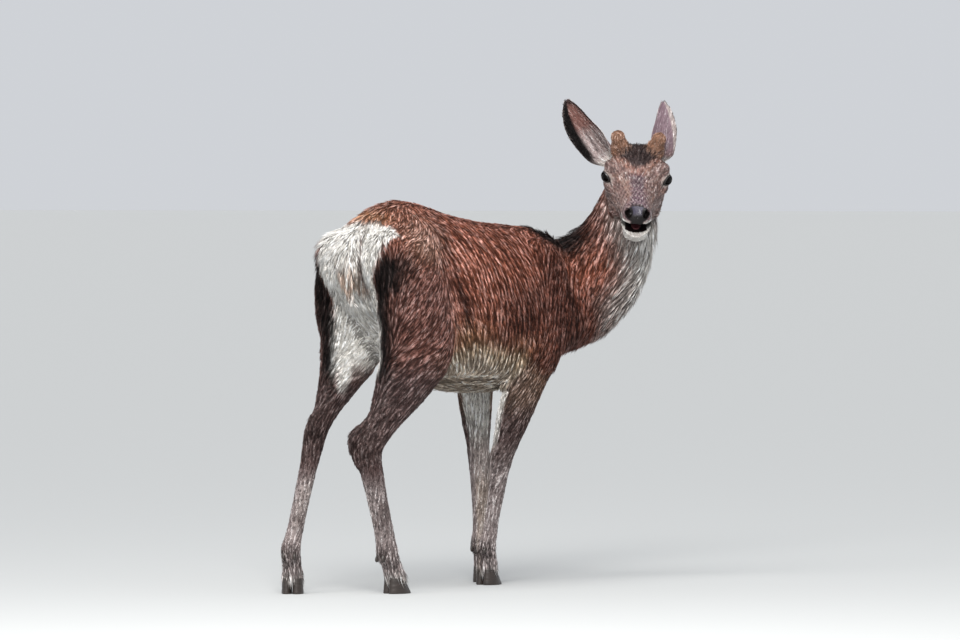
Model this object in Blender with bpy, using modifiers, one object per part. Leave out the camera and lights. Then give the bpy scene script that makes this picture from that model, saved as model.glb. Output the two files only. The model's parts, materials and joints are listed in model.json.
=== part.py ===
"""A young red deer stag with its first velvet knobs, standing and looking back past its right side.

Metres, +Z up, +X the way the trunk points, +Y the animal's left. The body is made whole: lofted trunk, neck,
head and legs and a few muscle lumps are fused by a voxel remesh, smoothed, thinned, and parted with thin cuts.
"""

import math

import bmesh
import bpy
import numpy as np
from mathutils import Matrix, Vector

# Driving sizes.
GAP = 0.0003  # clearance between neighbouring solids
CUT = 0.0005  # thickness of the cuts that part the body
VOXEL = 0.0075
SOFTENING = 6  # smoothing passes over the fused body
RING = 28  # points round a loft
TRIANGLES = {"head": 1200, "neck": 380, "trunk and legs": 2850, "tail": 160, "tongue": 70}  # after thinning

# The trunk: x, top z, bottom z, half width. It runs from the rump to the front of the chest.
TRUNK = (
    (-0.506, 0.888, 0.760, 0.070),
    (-0.470, 0.922, 0.725, 0.104),
    (-0.415, 0.958, 0.675, 0.120),
    (-0.330, 0.988, 0.600, 0.134),
    (-0.230, 0.981, 0.535, 0.136),
    (-0.110, 0.954, 0.500, 0.141),
    (0.010, 0.936, 0.492, 0.144),
    (0.120, 0.928, 0.500, 0.134),
    (0.220, 0.921, 0.524, 0.116),
    (0.310, 0.906, 0.565, 0.096),
    (0.375, 0.870, 0.625, 0.068),
)

# The neck: centre x, y, z, half width, half depth to the nape and to the throat, the nape's bearing in degrees
# from +X about +Z.
NECK = (
    (0.255, 0.000, 0.735, 0.100, 0.165, 0.165, 178),
    (0.345, 0.000, 0.745, 0.098, 0.160, 0.164, 172),
    (0.425, -0.012, 0.765, 0.092, 0.140, 0.156, 155),
    (0.492, -0.045, 0.830, 0.086, 0.113, 0.139, 128),
    (0.524, -0.082, 0.905, 0.081, 0.094, 0.118, 92),
    (0.536, -0.110, 0.985, 0.075, 0.081, 0.096, 60),
    (0.540, -0.126, 1.050, 0.064, 0.068, 0.072, 42),
)

# The head's own frame: origin midway between the eyes, x to the nose, y to its left, z to the crown.
EYES_MIDDLE = Vector((0.4705, -0.181, 1.046))
HEAD_YAW, HEAD_PITCH, HEAD_ROLL = math.radians(-142), math.radians(27), math.radians(-3.5)
# The head: x, top z, bottom z, half width, squareness.
HEAD = (
    (-0.118, 0.030, -0.070, 0.042, 1.00),
    (-0.092, 0.056, -0.100, 0.064, 0.95),
    (-0.055, 0.071, -0.116, 0.078, 0.90),
    (-0.020, 0.070, -0.120, 0.083, 0.90),
    (0.010, 0.059, -0.119, 0.075, 0.90),
    (0.045, 0.042, -0.116, 0.062, 0.88),
    (0.085, 0.027, -0.110, 0.0485, 0.84),
    (0.120, 0.018, -0.107, 0.0420, 0.82),
    (0.150, 0.010, -0.107, 0.0400, 0.80),
    (0.170, 0.000, -0.103, 0.0385, 0.80),
    (0.180, -0.012, -0.091, 0.0320, 0.84),
)
# Lumps on the head: centre, radii, in its own frame. y is mirrored.
HEAD_LUMPS = (
    ((-0.006, 0.074, 0.027), (0.030, 0.018, 0.014)),  # brow
    ((-0.004, 0.070, -0.021), (0.038, 0.017, 0.013)),  # cheekbone
    ((-0.038, 0.054, -0.062), (0.050, 0.027, 0.048)),  # jaw muscle
    ((-0.010, 0.046, -0.084), (0.058, 0.028, 0.036)),  # cheek
    ((0.168, 0.021, -0.014), (0.017, 0.015, 0.017)),  # nostril wing
    ((-0.048, 0.045, 0.062), (0.030, 0.026, 0.026)),  # foot of the knob
)
EYE_CENTRE = (0.006, 0.0730, 0.003)
EYE_RADIUS = 0.0172
SOCKET_GAP = 0.0006
KNOB_FOOT, KNOB_TIP = (-0.050, 0.047, 0.066), (-0.047, 0.056, 0.099)
KNOB_RADIUS = 0.0205
MOUTH_CORNER, MOUTH_FRONT = 0.105, 0.20  # along x
MOUTH_LEVEL = -0.047
MOUTH_OPEN = 0.028  # at the front

# Ears, in the head's frame: root inside the skull, point the ear bends towards, tip, way the hollow faces
# and half width.
EAR_THICKNESS = 0.0042
EARS = {
    "ear_right": (
        (-0.076, -0.052, 0.006), (-0.080, -0.128, 0.052), (-0.086, -0.190, 0.170), (0.86, -0.30, -0.12), 0.0475,
    ),
    "ear_left": (
        (-0.076, 0.050, 0.006), (-0.088, 0.070, 0.062), (-0.150, 0.061, 0.148), (-0.80, 0.58, 0.0), 0.0395,
    ),
}
EAR_COLUMNS = 7
# place along the ear, half width as a share, half opening in degrees, bow backwards as a share of length
EAR_FORM = (
    (0.00, 0.40, 128, 0.00),
    (0.14, 0.60, 112, 0.01),
    (0.28, 0.86, 88, 0.02),
    (0.45, 1.00, 72, 0.03),
    (0.62, 0.98, 62, 0.03),
    (0.78, 0.82, 54, 0.02),
    (0.90, 0.57, 46, 0.01),
    (1.00, 0.20, 40, 0.00),
)

# Legs. Joints from the top down: hip, stifle, hock, fetlock, coronet;
# shoulder, elbow, knee, fetlock, coronet.
JOINTS = {
    "hind_right": (
        (-0.330, -0.085, 0.850), (-0.300, -0.108, 0.640), (-0.530, -0.088, 0.372), (-0.446, -0.088, 0.105),
        (-0.424, -0.089, 0.045),
    ),
    "hind_left": (
        (-0.335, 0.085, 0.850), (-0.300, 0.108, 0.650), (-0.503, 0.098, 0.408), (-0.600, 0.100, 0.112),
        (-0.590, 0.104, 0.045),
    ),
    "fore_right": (
        (0.225, -0.075, 0.800), (0.130, -0.105, 0.580), (0.046, -0.062, 0.318), (0.033, -0.030, 0.105),
        (0.037, -0.025, 0.045),
    ),
    "fore_left": (
        (0.225, 0.075, 0.800), (0.158, 0.110, 0.580), (0.149, 0.087, 0.318), (0.124, 0.062, 0.105),
        (0.132, 0.060, 0.045),
    ),
}
# The way the toes point, in degrees from +X towards the leg's own side.
TOE_OUT = {"hind_right": 20, "hind_left": 28, "fore_right": 8, "fore_left": 12}
# Rows of a leg: place along the joints, shift forward, half depth, half width.
HIND_FORM = (
    (-0.10, -0.030, 0.120, 0.050),
    (0.25, -0.036, 0.132, 0.062),
    (0.65, -0.042, 0.130, 0.064),
    (1.00, -0.034, 0.118, 0.059),
    (1.28, -0.014, 0.097, 0.052),
    (1.50, -0.003, 0.073, 0.043),
    (1.72, 0.003, 0.050, 0.034),
    (1.88, 0.004, 0.041, 0.030),
    (2.02, 0.000, 0.042, 0.031),
    (2.16, 0.000, 0.036, 0.028),
    (2.35, 0.000, 0.031, 0.0235),
    (2.65, 0.000, 0.0285, 0.0215),
    (2.88, 0.000, 0.0285, 0.0225),
    (3.02, -0.003, 0.032, 0.027),
    (3.45, 0.001, 0.0275, 0.0265),
    (4.15, 0.004, 0.030, 0.0300),
)
FORE_FORM = (
    (-0.12, 0.000, 0.070, 0.035),
    (0.40, 0.012, 0.098, 0.045),
    (0.80, 0.012, 0.088, 0.044),
    (1.05, 0.000, 0.074, 0.042),
    (1.30, -0.004, 0.064, 0.041),
    (1.60, -0.004, 0.052, 0.036),
    (1.86, -0.001, 0.037, 0.030),
    (2.00, 0.000, 0.035, 0.0295),
    (2.15, 0.000, 0.0305, 0.0265),
    (2.40, 0.000, 0.0280, 0.0230),
    (2.70, 0.000, 0.0245, 0.0205),
    (2.90, 0.000, 0.026, 0.0225),
    (3.02, -0.003, 0.031, 0.027),
    (3.45, 0.001, 0.0265, 0.0260),
    (4.15, 0.004, 0.029, 0.0295),
)
# The point of the hock, behind and above the joint: back, up, radius.
HOCK_POINT = (0.040, 0.022, 0.020)
TENDON_RADIUS = 0.018  # above the point of the hock
HAMSTRING = (  # x, distance from the middle plane, z, radius
    (-0.405, 0.090, 0.765, 0.062),
    (-0.420, 0.098, 0.655, 0.052),
    (-0.430, 0.100, 0.560, 0.043),
    (-0.470, 0.099, 0.475, 0.029),
)

# Muscle lumps on the trunk, mirrored in y: centre, radii, pitch in degrees.
MUSCLES = (
    ((-0.440, 0.076, 0.835), (0.070, 0.050, 0.090), 10),  # buttock
    ((-0.270, 0.066, 0.880), (0.110, 0.048, 0.060), 8),  # hip
    ((0.205, 0.078, 0.770), (0.095, 0.046, 0.130), -18),  # shoulder blade
    ((0.262, 0.084, 0.660), (0.070, 0.042, 0.078), 0),  # point of the shoulder
)
TAIL = (  # x, y, z, half width, half depth
    (-0.480, 0.000, 0.900, 0.026, 0.018),
    (-0.516, -0.010, 0.870, 0.034, 0.021),
    (-0.536, -0.024, 0.820, 0.037, 0.020),
    (-0.540, -0.036, 0.768, 0.029, 0.016),
    (-0.538, -0.044, 0.722, 0.012, 0.009),
)

# Hooves: one claw's length, width and height, and how far its toe leans out.
CLAW_LENGTH, CLAW_WIDTH = 0.066, 0.026
CLAW_POINTS = 12
CLAW_CLEFT = 0.0016  # from the leg's middle plane to a claw's inner wall
DEWCLAW_RADIUS, DEWCLAW_BACK, DEWCLAW_APART = 0.0075, 0.029, 0.0135
CORONET_LEVEL = 0.040

# Where the body is parted: point and normal of the neck's plane, and of the head's in the head's own frame.
NECK_CUT = ((0.430, -0.016, 0.775), (0.82, -0.26, 0.50))
HEAD_CUT = ((-0.070, 0.0, -0.062), (0.500, 0.0, 0.866))
# A leg's share of the trunk: rear and front x, then the slanted wall's low and high y, z.
LEG_REGIONS = {
    "hind": ((-0.70, -0.165), (0.030, 0.520), (0.155, 0.800)),
    "fore": ((0.010, 0.325), (0.040, 0.515), (0.150, 0.660)),
}
LEG_NAMES = {"hind": ("hind", "thigh_", "shank_", 1.90), "fore": ("fore", "shoulder_", "cannon_", 1.93)}
SMALLEST_PIECE = 12  # vertices

COLOURS = {  # base colour, roughness
    "coat_red": ((0.30, 0.12, 0.06), 0.75),
    "coat_grey": ((0.26, 0.20, 0.17), 0.78),
    "coat_pale": ((0.72, 0.62, 0.50), 0.80),
    "eye": ((0.012, 0.009, 0.008), 0.08),
    "horn": ((0.030, 0.026, 0.024), 0.35),
    "mouth": ((0.28, 0.10, 0.09), 0.45),
    "tooth": ((0.75, 0.70, 0.60), 0.35),
}


def smooth_rows(rows, steps):
    """A Catmull-Rom curve through table rows, with this many steps between each two."""
    rows = np.array(rows, float)
    padded = np.vstack([2 * rows[0] - rows[1], rows, 2 * rows[-1] - rows[-2]])
    out = []
    for i in range(1, len(padded) - 2):
        a, b, c, d = padded[i - 1 : i + 3]
        for k in range(steps):
            t = k / steps
            square, cube = 2 * a - 5 * b + 4 * c - d, 3 * b - a - 3 * c + d
            out.append(0.5 * (2 * b + (c - a) * t + square * t * t + cube * t**3))
    out.append(rows[-1])
    return np.array(out)


def ring_points(centre, across, up, half_width, high, low, power=1.0):
    """A closed ring: an oval whose upper and lower halves may differ, squarer where power is under 1."""
    angle = np.linspace(0, 2 * math.pi, RING, endpoint=False)
    c, s = np.cos(angle), np.sin(angle)
    sideways = half_width * np.sign(c) * np.abs(c) ** power
    height = np.where(s > 0, high, low) * np.sign(s) * np.abs(s) ** power
    return np.array(centre) + np.outer(sideways, across) + np.outer(height, up)


def object_from(name, bm):
    """A mesh object made of a bmesh, with its faces turned outwards."""
    bmesh.ops.recalc_face_normals(bm, faces=bm.faces)
    if bm.calc_volume(signed=True) < 0:
        bmesh.ops.reverse_faces(bm, faces=bm.faces)
    mesh = bpy.data.meshes.new(name)
    bm.to_mesh(mesh)
    bm.free()
    thing = bpy.data.objects.new(name, mesh)
    bpy.context.scene.collection.objects.link(thing)
    return thing


def loft(name, rings, cap=0.5):
    """A closed skin through rings of equal count, each end drawn in to a rounded cap of this share of its size."""
    rings = [np.array(r) for r in rings]
    ends = []
    for first, second in ((rings[0], rings[1]), (rings[-1], rings[-2])):
        middle = first.mean(0)
        size = np.linalg.norm(first - middle, axis=1).mean()
        out = middle - second.mean(0)
        out = out / max(np.linalg.norm(out), 1e-9) * size * cap
        ends.append([middle + out * math.sin(a) + (first - middle) * math.cos(a) for a in (1.3, 0.95, 0.5)])
    stack = ends[0] + rings + ends[1][::-1]
    bm = bmesh.new()
    rows = [[bm.verts.new(p) for p in ring] for ring in stack]
    for low, high in zip(rows, rows[1:]):
        for i in range(len(low)):
            j = (i + 1) % len(low)
            bm.faces.new((low[i], low[j], high[j], high[i]))
    bm.faces.new(rows[0])
    bm.faces.new(rows[-1][::-1])
    return object_from(name, bm)


def ellipsoid(name, centre, radii, turn=Matrix(), detail=16):
    """A ball squashed to three radii and turned about its centre."""
    bm = bmesh.new()
    bmesh.ops.create_uvsphere(bm, u_segments=detail, v_segments=detail // 2 + 1, radius=1.0)
    place = Matrix.Translation(centre) @ turn @ Matrix.Diagonal((*radii, 1))
    bmesh.ops.transform(bm, matrix=place, verts=bm.verts)
    return object_from(name, bm)


def trunk():
    """Rings upright across the trunk, narrower at the spine than at the ribs."""
    rings = []
    for x, top, bottom, half in smooth_rows(TRUNK, 4):
        middle = bottom + 0.47 * (top - bottom)
        ring = ring_points((x, 0, middle), (0, 1, 0), (0, 0, 1), half, top - middle, middle - bottom, 0.92)
        rise = np.clip((ring[:, 2] - middle) / (top - middle), 0, 1)
        ring[:, 1] *= 1 - 0.22 * rise**2
        rings.append(ring)
    return loft("trunk_form", rings)


def neck():
    """Rings across a bent neck that also twists, so that the nape turns from behind to beyond the head."""
    rows = smooth_rows(NECK, 4)
    rings = []
    for i, (x, y, z, half, nape_deep, throat_deep, bearing) in enumerate(rows):
        along = rows[min(i + 1, len(rows) - 1), :3] - rows[max(i - 1, 0), :3]
        along /= np.linalg.norm(along)
        nape = np.array((math.cos(math.radians(bearing)), math.sin(math.radians(bearing)), 0.0))
        nape -= along * (nape @ along)
        nape /= np.linalg.norm(nape)
        rings.append(ring_points((x, y, z), np.cross(along, nape), nape, half, nape_deep, throat_deep, 0.95))
    return loft("neck_form", rings)


def limb_rows(leg, form):
    """The leg's rows as centres and half sizes: a place of 1.3 lies three tenths of the way below joint 1."""
    joints = np.array(JOINTS[leg], float)
    rows = []
    for place, forward, deep, half in form:
        i = min(max(int(math.floor(place)), 0), len(joints) - 2)
        centre = joints[i] + (joints[i + 1] - joints[i]) * (place - i)
        rows.append((*(centre + forward * toe_direction(leg, place)), deep, half, place))
    return smooth_rows(rows, 3)


def side_of(leg):
    """1 on the animal's left, -1 on its right."""
    return 1 if leg.endswith("left") else -1


def toe_direction(leg, place=4.0):
    """Which way is forward for a leg: straight ahead at its top, turning out towards the toes."""
    turn = math.radians(TOE_OUT[leg]) * side_of(leg) * min(max(place - 0.8, 0), 1.2) / 1.2
    return np.array((math.cos(turn), math.sin(turn), 0.0))


def limb(leg, form):
    """A leg's loft, each ring square to the bone."""
    rows = limb_rows(leg, form)
    rings = []
    for i, (x, y, z, deep, half, place) in enumerate(rows):
        along = rows[min(i + 1, len(rows) - 1), :3] - rows[max(i - 1, 0), :3]
        along /= np.linalg.norm(along)
        front = toe_direction(leg, place)
        front = front - along * (front @ along)
        front /= np.linalg.norm(front)
        rings.append(ring_points((x, y, z), np.cross(along, front), front, half, deep, deep))
    return loft(leg + "_form", rings, 0.3)


def hamstring(leg):
    """The flesh behind the thigh, drawn down into the tendon that ends at the point of the hock."""
    hock = np.array(JOINTS[leg][2])
    front = toe_direction(leg, 2.0)
    back, up, radius = HOCK_POINT
    point = hock - front * back + np.array((0, 0, up))
    foot = hock - front * back * 0.55 - np.array((0, 0, 0.050))
    rows = [(x, side_of(leg) * y, z, size) for x, y, z, size in HAMSTRING]
    between = 0.45 * np.array(rows[-1][:3]) + 0.55 * point
    rows += [(*between, TENDON_RADIUS), (*point, radius), (*foot, radius * 0.8)]
    path = smooth_rows(rows, 4)
    rings = []
    for i, (x, y, z, size) in enumerate(path):
        along = path[min(i + 1, len(path) - 1), :3] - path[max(i - 1, 0), :3]
        along /= np.linalg.norm(along)
        out = front - along * (front @ along)
        out /= np.linalg.norm(out)
        rings.append(ring_points((x, y, z), np.cross(along, out), out, size * 0.85, size, size))
    return loft(leg + "_hamstring", rings, 0.6)


def head_matrix():
    """From the head's own frame to the animal's."""
    yaw, pitch = Matrix.Rotation(HEAD_YAW, 4, "Z"), Matrix.Rotation(HEAD_PITCH, 4, "Y")
    return Matrix.Translation(EYES_MIDDLE) @ yaw @ pitch @ Matrix.Rotation(HEAD_ROLL, 4, "X")


def head_forms():
    """The skull's loft from nape to nose, and the mirrored lumps of the face, in the animal's frame."""
    rings = []
    for x, top, bottom, half, power in smooth_rows(HEAD, 4):
        middle = bottom + 0.55 * (top - bottom)
        ring = ring_points((x, 0, middle), (0, 1, 0), (0, 0, 1), half, top - middle, middle - bottom, power)
        fall = np.clip((middle - ring[:, 2]) / (middle - bottom), 0, 1)
        rise = np.clip((ring[:, 2] - middle) / (top - middle), 0, 1)
        ring[:, 1] *= 1 - 0.30 * fall**2 - 0.16 * rise**2
        rings.append(ring)
    made = [loft("head_form", rings, 0.35)]
    for i, (centre, radii) in enumerate(HEAD_LUMPS):
        for side in (1, -1):
            made.append(ellipsoid(f"face_lump_{i}_{side}", (centre[0], side * centre[1], centre[2]), radii))
    for thing in made:
        thing.data.transform(head_matrix())
    return made


def apply_modifiers(thing):
    """Replaces an object's mesh by what its modifiers make of it."""
    graph = bpy.context.evaluated_depsgraph_get()
    mesh = bpy.data.meshes.new_from_object(thing.evaluated_get(graph))
    thing.modifiers.clear()
    thing.data = mesh


def join(name, things):
    """One object that holds the meshes of several."""
    bm = bmesh.new()
    for thing in things:
        thing.data.transform(thing.matrix_world)
        bm.from_mesh(thing.data)
        bpy.data.objects.remove(thing)
    return object_from(name, bm)


def boolean(thing, cutter, operation="DIFFERENCE"):
    """Cuts or joins one mesh with another, at once."""
    modifier = thing.modifiers.new("cut", "BOOLEAN")
    modifier.operation, modifier.object, modifier.solver = operation, cutter, "EXACT"
    apply_modifiers(thing)


def fused_body():
    """The flesh as one closed skin: overlapped forms, remeshed and smoothed."""
    forms = [trunk(), neck(), *head_forms()]
    for leg in JOINTS:
        forms.append(limb(leg, HIND_FORM if leg.startswith("hind") else FORE_FORM))
        if leg.startswith("hind"):
            forms.append(hamstring(leg))
    for i, (centre, radii, pitch) in enumerate(MUSCLES):
        for side in (1, -1):
            turn = Matrix.Rotation(math.radians(pitch), 4, "Y")
            place = (centre[0], side * centre[1], centre[2])
            forms.append(ellipsoid(f"muscle_{i}_{side}", place, radii, turn))
    body = join("body", forms)
    remesh = body.modifiers.new("fuse", "REMESH")
    remesh.mode, remesh.voxel_size, remesh.adaptivity = "VOXEL", VOXEL, 0.0
    smooth = body.modifiers.new("soften", "SMOOTH")
    smooth.factor, smooth.iterations = 0.5, SOFTENING
    apply_modifiers(body)
    return body


def thin(thing, triangles):
    """Thins a mesh to about this many triangles."""
    mesh = bmesh.new()
    mesh.from_mesh(thing.data)
    bmesh.ops.triangulate(mesh, faces=mesh.faces)
    mesh.to_mesh(thing.data)
    mesh.free()
    modifier = thing.modifiers.new("thin", "DECIMATE")
    modifier.ratio = min(1.0, triangles / len(thing.data.polygons))
    apply_modifiers(thing)


def tail_form():
    """A short tail that hangs against the rump, flat across the animal."""
    rows = smooth_rows(TAIL, 3)
    rings = []
    for i, (x, y, z, half, deep) in enumerate(rows):
        along = rows[min(i + 1, len(rows) - 1), :3] - rows[max(i - 1, 0), :3]
        along /= np.linalg.norm(along)
        across = np.array((0.0, 1.0, 0.0))
        rings.append(ring_points((x, y, z), across, np.cross(along, across), half, deep, deep))
    return loft("tail_form", rings, 0.5)


def dewclaw(name, leg, inner):
    """A small horn behind the fetlock."""
    joint = np.array(JOINTS[leg][3])
    front = toe_direction(leg)
    left = np.cross((0, 0, 1), front)
    hand = side_of(leg) * (-1 if inner else 1)
    centre = joint - front * DEWCLAW_BACK + left * hand * DEWCLAW_APART + np.array((0, 0, -0.016))
    turn = Matrix.Rotation(math.atan2(front[1], front[0]), 4, "Z") @ Matrix.Rotation(math.radians(22), 4, "Y")
    bm = bmesh.new()
    scale = Matrix.Diagonal((DEWCLAW_RADIUS, DEWCLAW_RADIUS * 0.8, DEWCLAW_RADIUS * 1.7, 1))
    place = Matrix.Translation(centre) @ turn @ scale
    bmesh.ops.create_icosphere(bm, subdivisions=1, radius=1.0, matrix=place)
    return object_from(name, bm)


def floor_box():
    """Everything below the coronets."""
    made = bpy.data.objects.get("below_coronets")
    if made:
        return made
    outline = [(-1, -1), (1, -1), (1, 1), (-1, 1)]
    return prism("below_coronets", outline, -0.2, CORONET_LEVEL, (1, 0, 0), (0, 1, 0))


def hidden(thing):
    """Marks an object as a construction aid."""
    aids = bpy.data.collections.get("aids") or bpy.data.collections.new("aids")
    if aids.name not in bpy.context.scene.collection.children:
        bpy.context.scene.collection.children.link(aids)
    for home in list(thing.users_collection):
        home.objects.unlink(thing)
    aids.objects.link(thing)
    thing.hide_render = True
    thing.display_type = "WIRE"
    return thing


def swollen(thing, by):
    """A copy pushed out along its normals, to cut a neighbour with clearance."""
    copy = bpy.data.objects.new(thing.name + "_clearance", thing.data.copy())
    bpy.context.scene.collection.objects.link(copy)
    normals = np.empty(len(copy.data.vertices) * 3, np.float32)
    points = np.empty_like(normals)
    copy.data.vertices.foreach_get("normal", normals)
    copy.data.vertices.foreach_get("co", points)
    copy.data.vertices.foreach_set("co", points + by * normals)
    return hidden(copy)


def prism(name, outline, low, high, axis_x, axis_y, origin=(0, 0, 0)):
    """A straight prism: an outline in two axes, drawn out from low to high along the third."""
    origin, u, v = Vector(origin), Vector(axis_x).normalized(), Vector(axis_y).normalized()
    w = u.cross(v)
    bm = bmesh.new()
    rows = [[bm.verts.new(origin + u * x + v * y + w * z) for x, y in outline] for z in (low, high)]
    for i in range(len(outline)):
        j = (i + 1) % len(outline)
        bm.faces.new((rows[0][i], rows[0][j], rows[1][j], rows[1][i]))
    bm.faces.new(rows[0])
    bm.faces.new(rows[1][::-1])
    return hidden(object_from(name, bm))


def slab(name, centre, normal, half, thickness=CUT):
    """A thin square plate across a limb."""
    normal = Vector(normal).normalized()
    side = normal.orthogonal().normalized()
    outline = [(-half, -half), (half, -half), (half, half), (-half, half)]
    return prism(name, outline, -thickness / 2, thickness / 2, side, normal.cross(side), centre)


def separate(thing):
    """The closed bodies a mesh falls into, each as an object; crumbs are dropped."""
    bm = bmesh.new()
    bm.from_mesh(thing.data)
    left = set(bm.verts)
    pieces = []
    while left:
        seed = left.pop()
        found, front = {seed}, [seed]
        while front:
            for edge in front.pop().link_edges:
                for vertex in edge.verts:
                    if vertex in left:
                        left.discard(vertex)
                        found.add(vertex)
                        front.append(vertex)
        pieces.append(sorted(v.index for v in found))
    bm.free()
    made = []
    for i, keep in enumerate(sorted(pieces)):
        if len(keep) < SMALLEST_PIECE:
            continue
        part = bmesh.new()
        part.from_mesh(thing.data)
        kept = set(keep)
        bmesh.ops.delete(part, geom=[v for v in part.verts if v.index not in kept], context="VERTS")
        made.append(object_from(f"piece_{i}", part))
    bpy.data.objects.remove(thing)
    return made


def joint_plane(leg, place):
    """A point on a leg's bone and the bone's direction there."""
    joints = [Vector(j) for j in JOINTS[leg]]
    i = min(int(place), len(joints) - 2)
    along = joints[i + 1] - joints[i]
    return joints[i] + along * (place - i), along.normalized()


def carve(thing, cutter):
    """Cuts a body in two with a thin cutter: the larger part, then the smaller."""
    boolean(thing, cutter)
    pieces = sorted(separate(thing), key=lambda piece: -len(piece.data.vertices))
    for crumb in pieces[2:]:
        bpy.data.objects.remove(crumb)
    return pieces[0], pieces[1]


def part_body(body):
    """Cuts the body into trunk, neck, head and legs, by name. Each share is thinned before its finer cuts."""
    nodes = {}
    body, front = carve(body, slab("cut_neck", *NECK_CUT, 0.22))
    turn = head_matrix()
    cutter = slab("cut_head", turn @ Vector(HEAD_CUT[0]), turn.to_3x3() @ Vector(HEAD_CUT[1]), 0.16)
    nodes["neck"], nodes["head"] = carve(front, cutter)
    thin(nodes["neck"], TRIANGLES["neck"])
    thin(nodes["head"], TRIANGLES["head"])
    thin(body, TRIANGLES["trunk and legs"])
    for leg in JOINTS:
        end, upper, lower, place = LEG_NAMES[leg[:4]]
        point, along = joint_plane(leg, place)
        body, nodes[lower + leg] = carve(body, slab("cut_" + leg, point, along, 0.075))
        body, nodes[upper + leg] = carve(body, region_wall("wall_" + leg, LEG_REGIONS[end], side_of(leg)))
        boolean(nodes[lower + leg], floor_box())
    nodes["trunk"] = body
    return nodes


def region_wall(name, region, side):
    """The thin wall round a leg's share of the body: a slanted sheet with a front and a back leaf."""
    (rear, front), (y_low, z_low), (y_high, z_high) = region
    slant = Vector((0, side * (y_high - y_low), z_high - z_low)).normalized()
    length = math.hypot(y_high - y_low, z_high - z_low)
    out = Vector((1, 0, 0)).cross(slant) * side
    if out.y * side < 0:
        out = -out
    half = CUT / 2
    deep = 0.30
    outline = [(rear - half, deep), (rear - half, -half), (front + half, -half), (front + half, deep),
               (front - half, deep), (front - half, half), (rear + half, half), (rear + half, deep)]
    origin = Vector((0, side * y_low, z_low))
    wall = prism(name, outline, -0.06, length + 0.12, (1, 0, 0), out, origin)
    if (Vector((1, 0, 0)).cross(out)).dot(slant) < 0:
        bpy.data.objects.remove(wall)
        wall = prism(name, outline, -length - 0.12, 0.06, (1, 0, 0), out, origin)
    return wall


def claw(name, leg, inner):
    """One half of a cloven hoof: flat sole, upright inner wall, curved outer wall, toe drawn forward."""
    foot = np.array(JOINTS[leg][4])
    front = toe_direction(leg)
    left = np.cross((0, 0, 1), front)
    hand = side_of(leg) * (-1 if inner else 1)
    rings = []
    for level in np.linspace(0, 1, 4):
        z = level * (CORONET_LEVEL - GAP)
        toe = CLAW_LENGTH * (0.66 - 0.30 * level)
        heel = -CLAW_LENGTH * (0.36 - 0.05 * level)
        width = CLAW_WIDTH * (1.0 - 0.06 * level)
        points = []
        for angle in np.linspace(0, 2 * math.pi, CLAW_POINTS, endpoint=False):
            c, s = math.cos(angle), math.sin(angle)
            along = toe * c if c > 0 else -heel * c
            bulge = (0.5 + 0.5 * s) * (1 - 0.55 * max(c, 0) ** 2)
            across = CLAW_CLEFT + width * (bulge if s > 0 else 0.5 * (1 + s) * (1 - 0.55 * max(c, 0) ** 2))
            across += 0.06 * along
            flat = foot * (1, 1, 0) + front * (along + 0.002) + left * hand * across
            points.append(flat + np.array((0, 0, z)))
        rings.append(points)
    bm = bmesh.new()
    rows = [[bm.verts.new(p) for p in ring] for ring in rings]
    for low, high in zip(rows, rows[1:]):
        for i in range(CLAW_POINTS):
            j = (i + 1) % CLAW_POINTS
            bm.faces.new((low[i], low[j], high[j], high[i]))
    bm.faces.new(rows[0])
    bm.faces.new(rows[-1][::-1])
    return object_from(name, bm)


def hollow_ear(name, root, bend, tip, facing, half_width):
    """A leaf-shaped cup: nearly a tube at its root, open along its length, pointed at its tip."""
    turn = head_matrix()
    root, bend, tip = (np.array(turn @ Vector(p)) for p in (root, bend, tip))
    facing = np.array(turn.to_3x3() @ Vector(facing))
    length = np.linalg.norm(tip - root)
    rows = []
    for s, width, opening, bow in smooth_rows(EAR_FORM, 2):
        centre = root * (1 - s) ** 2 + bend * 2 * s * (1 - s) + tip * s * s
        along = (bend - root) * (1 - s) + (tip - bend) * s
        along /= np.linalg.norm(along)
        front = facing - along * (facing @ along)
        front /= np.linalg.norm(front)
        side = np.cross(along, front)
        half_angle = math.radians(opening)
        radius = half_width * width / (math.sin(half_angle) if opening < 90 else 1)
        angles = np.linspace(-half_angle, half_angle, EAR_COLUMNS)
        centre = centre - front * bow * length
        thickness = EAR_THICKNESS * (0.45 + 0.55 * np.cos(angles / half_angle * math.pi / 2)) * (1 - 0.5 * s)
        set_back = radius * math.sin(half_angle) / half_angle
        outer = centre + np.outer(radius * np.sin(angles), side)
        outer -= np.outer(radius * np.cos(angles) - set_back, front)
        inner = centre + np.outer((radius - thickness) * np.sin(angles), side)
        inner -= np.outer((radius - thickness) * np.cos(angles) - set_back, front)
        rows.append(np.vstack([outer, inner[::-1]]))
    bm = bmesh.new()
    stack = [[bm.verts.new(p) for p in row] for row in rows]
    count = len(stack[0])
    for low, high in zip(stack, stack[1:]):
        for i in range(count):
            j = (i + 1) % count
            bm.faces.new((low[i], low[j], high[j], high[i]))
    for row in (stack[0], stack[-1]):
        for i in range(count // 2 - 1):
            bm.faces.new((row[i], row[i + 1], row[count - 2 - i], row[count - 1 - i]))
    return object_from(name, bm)


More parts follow.
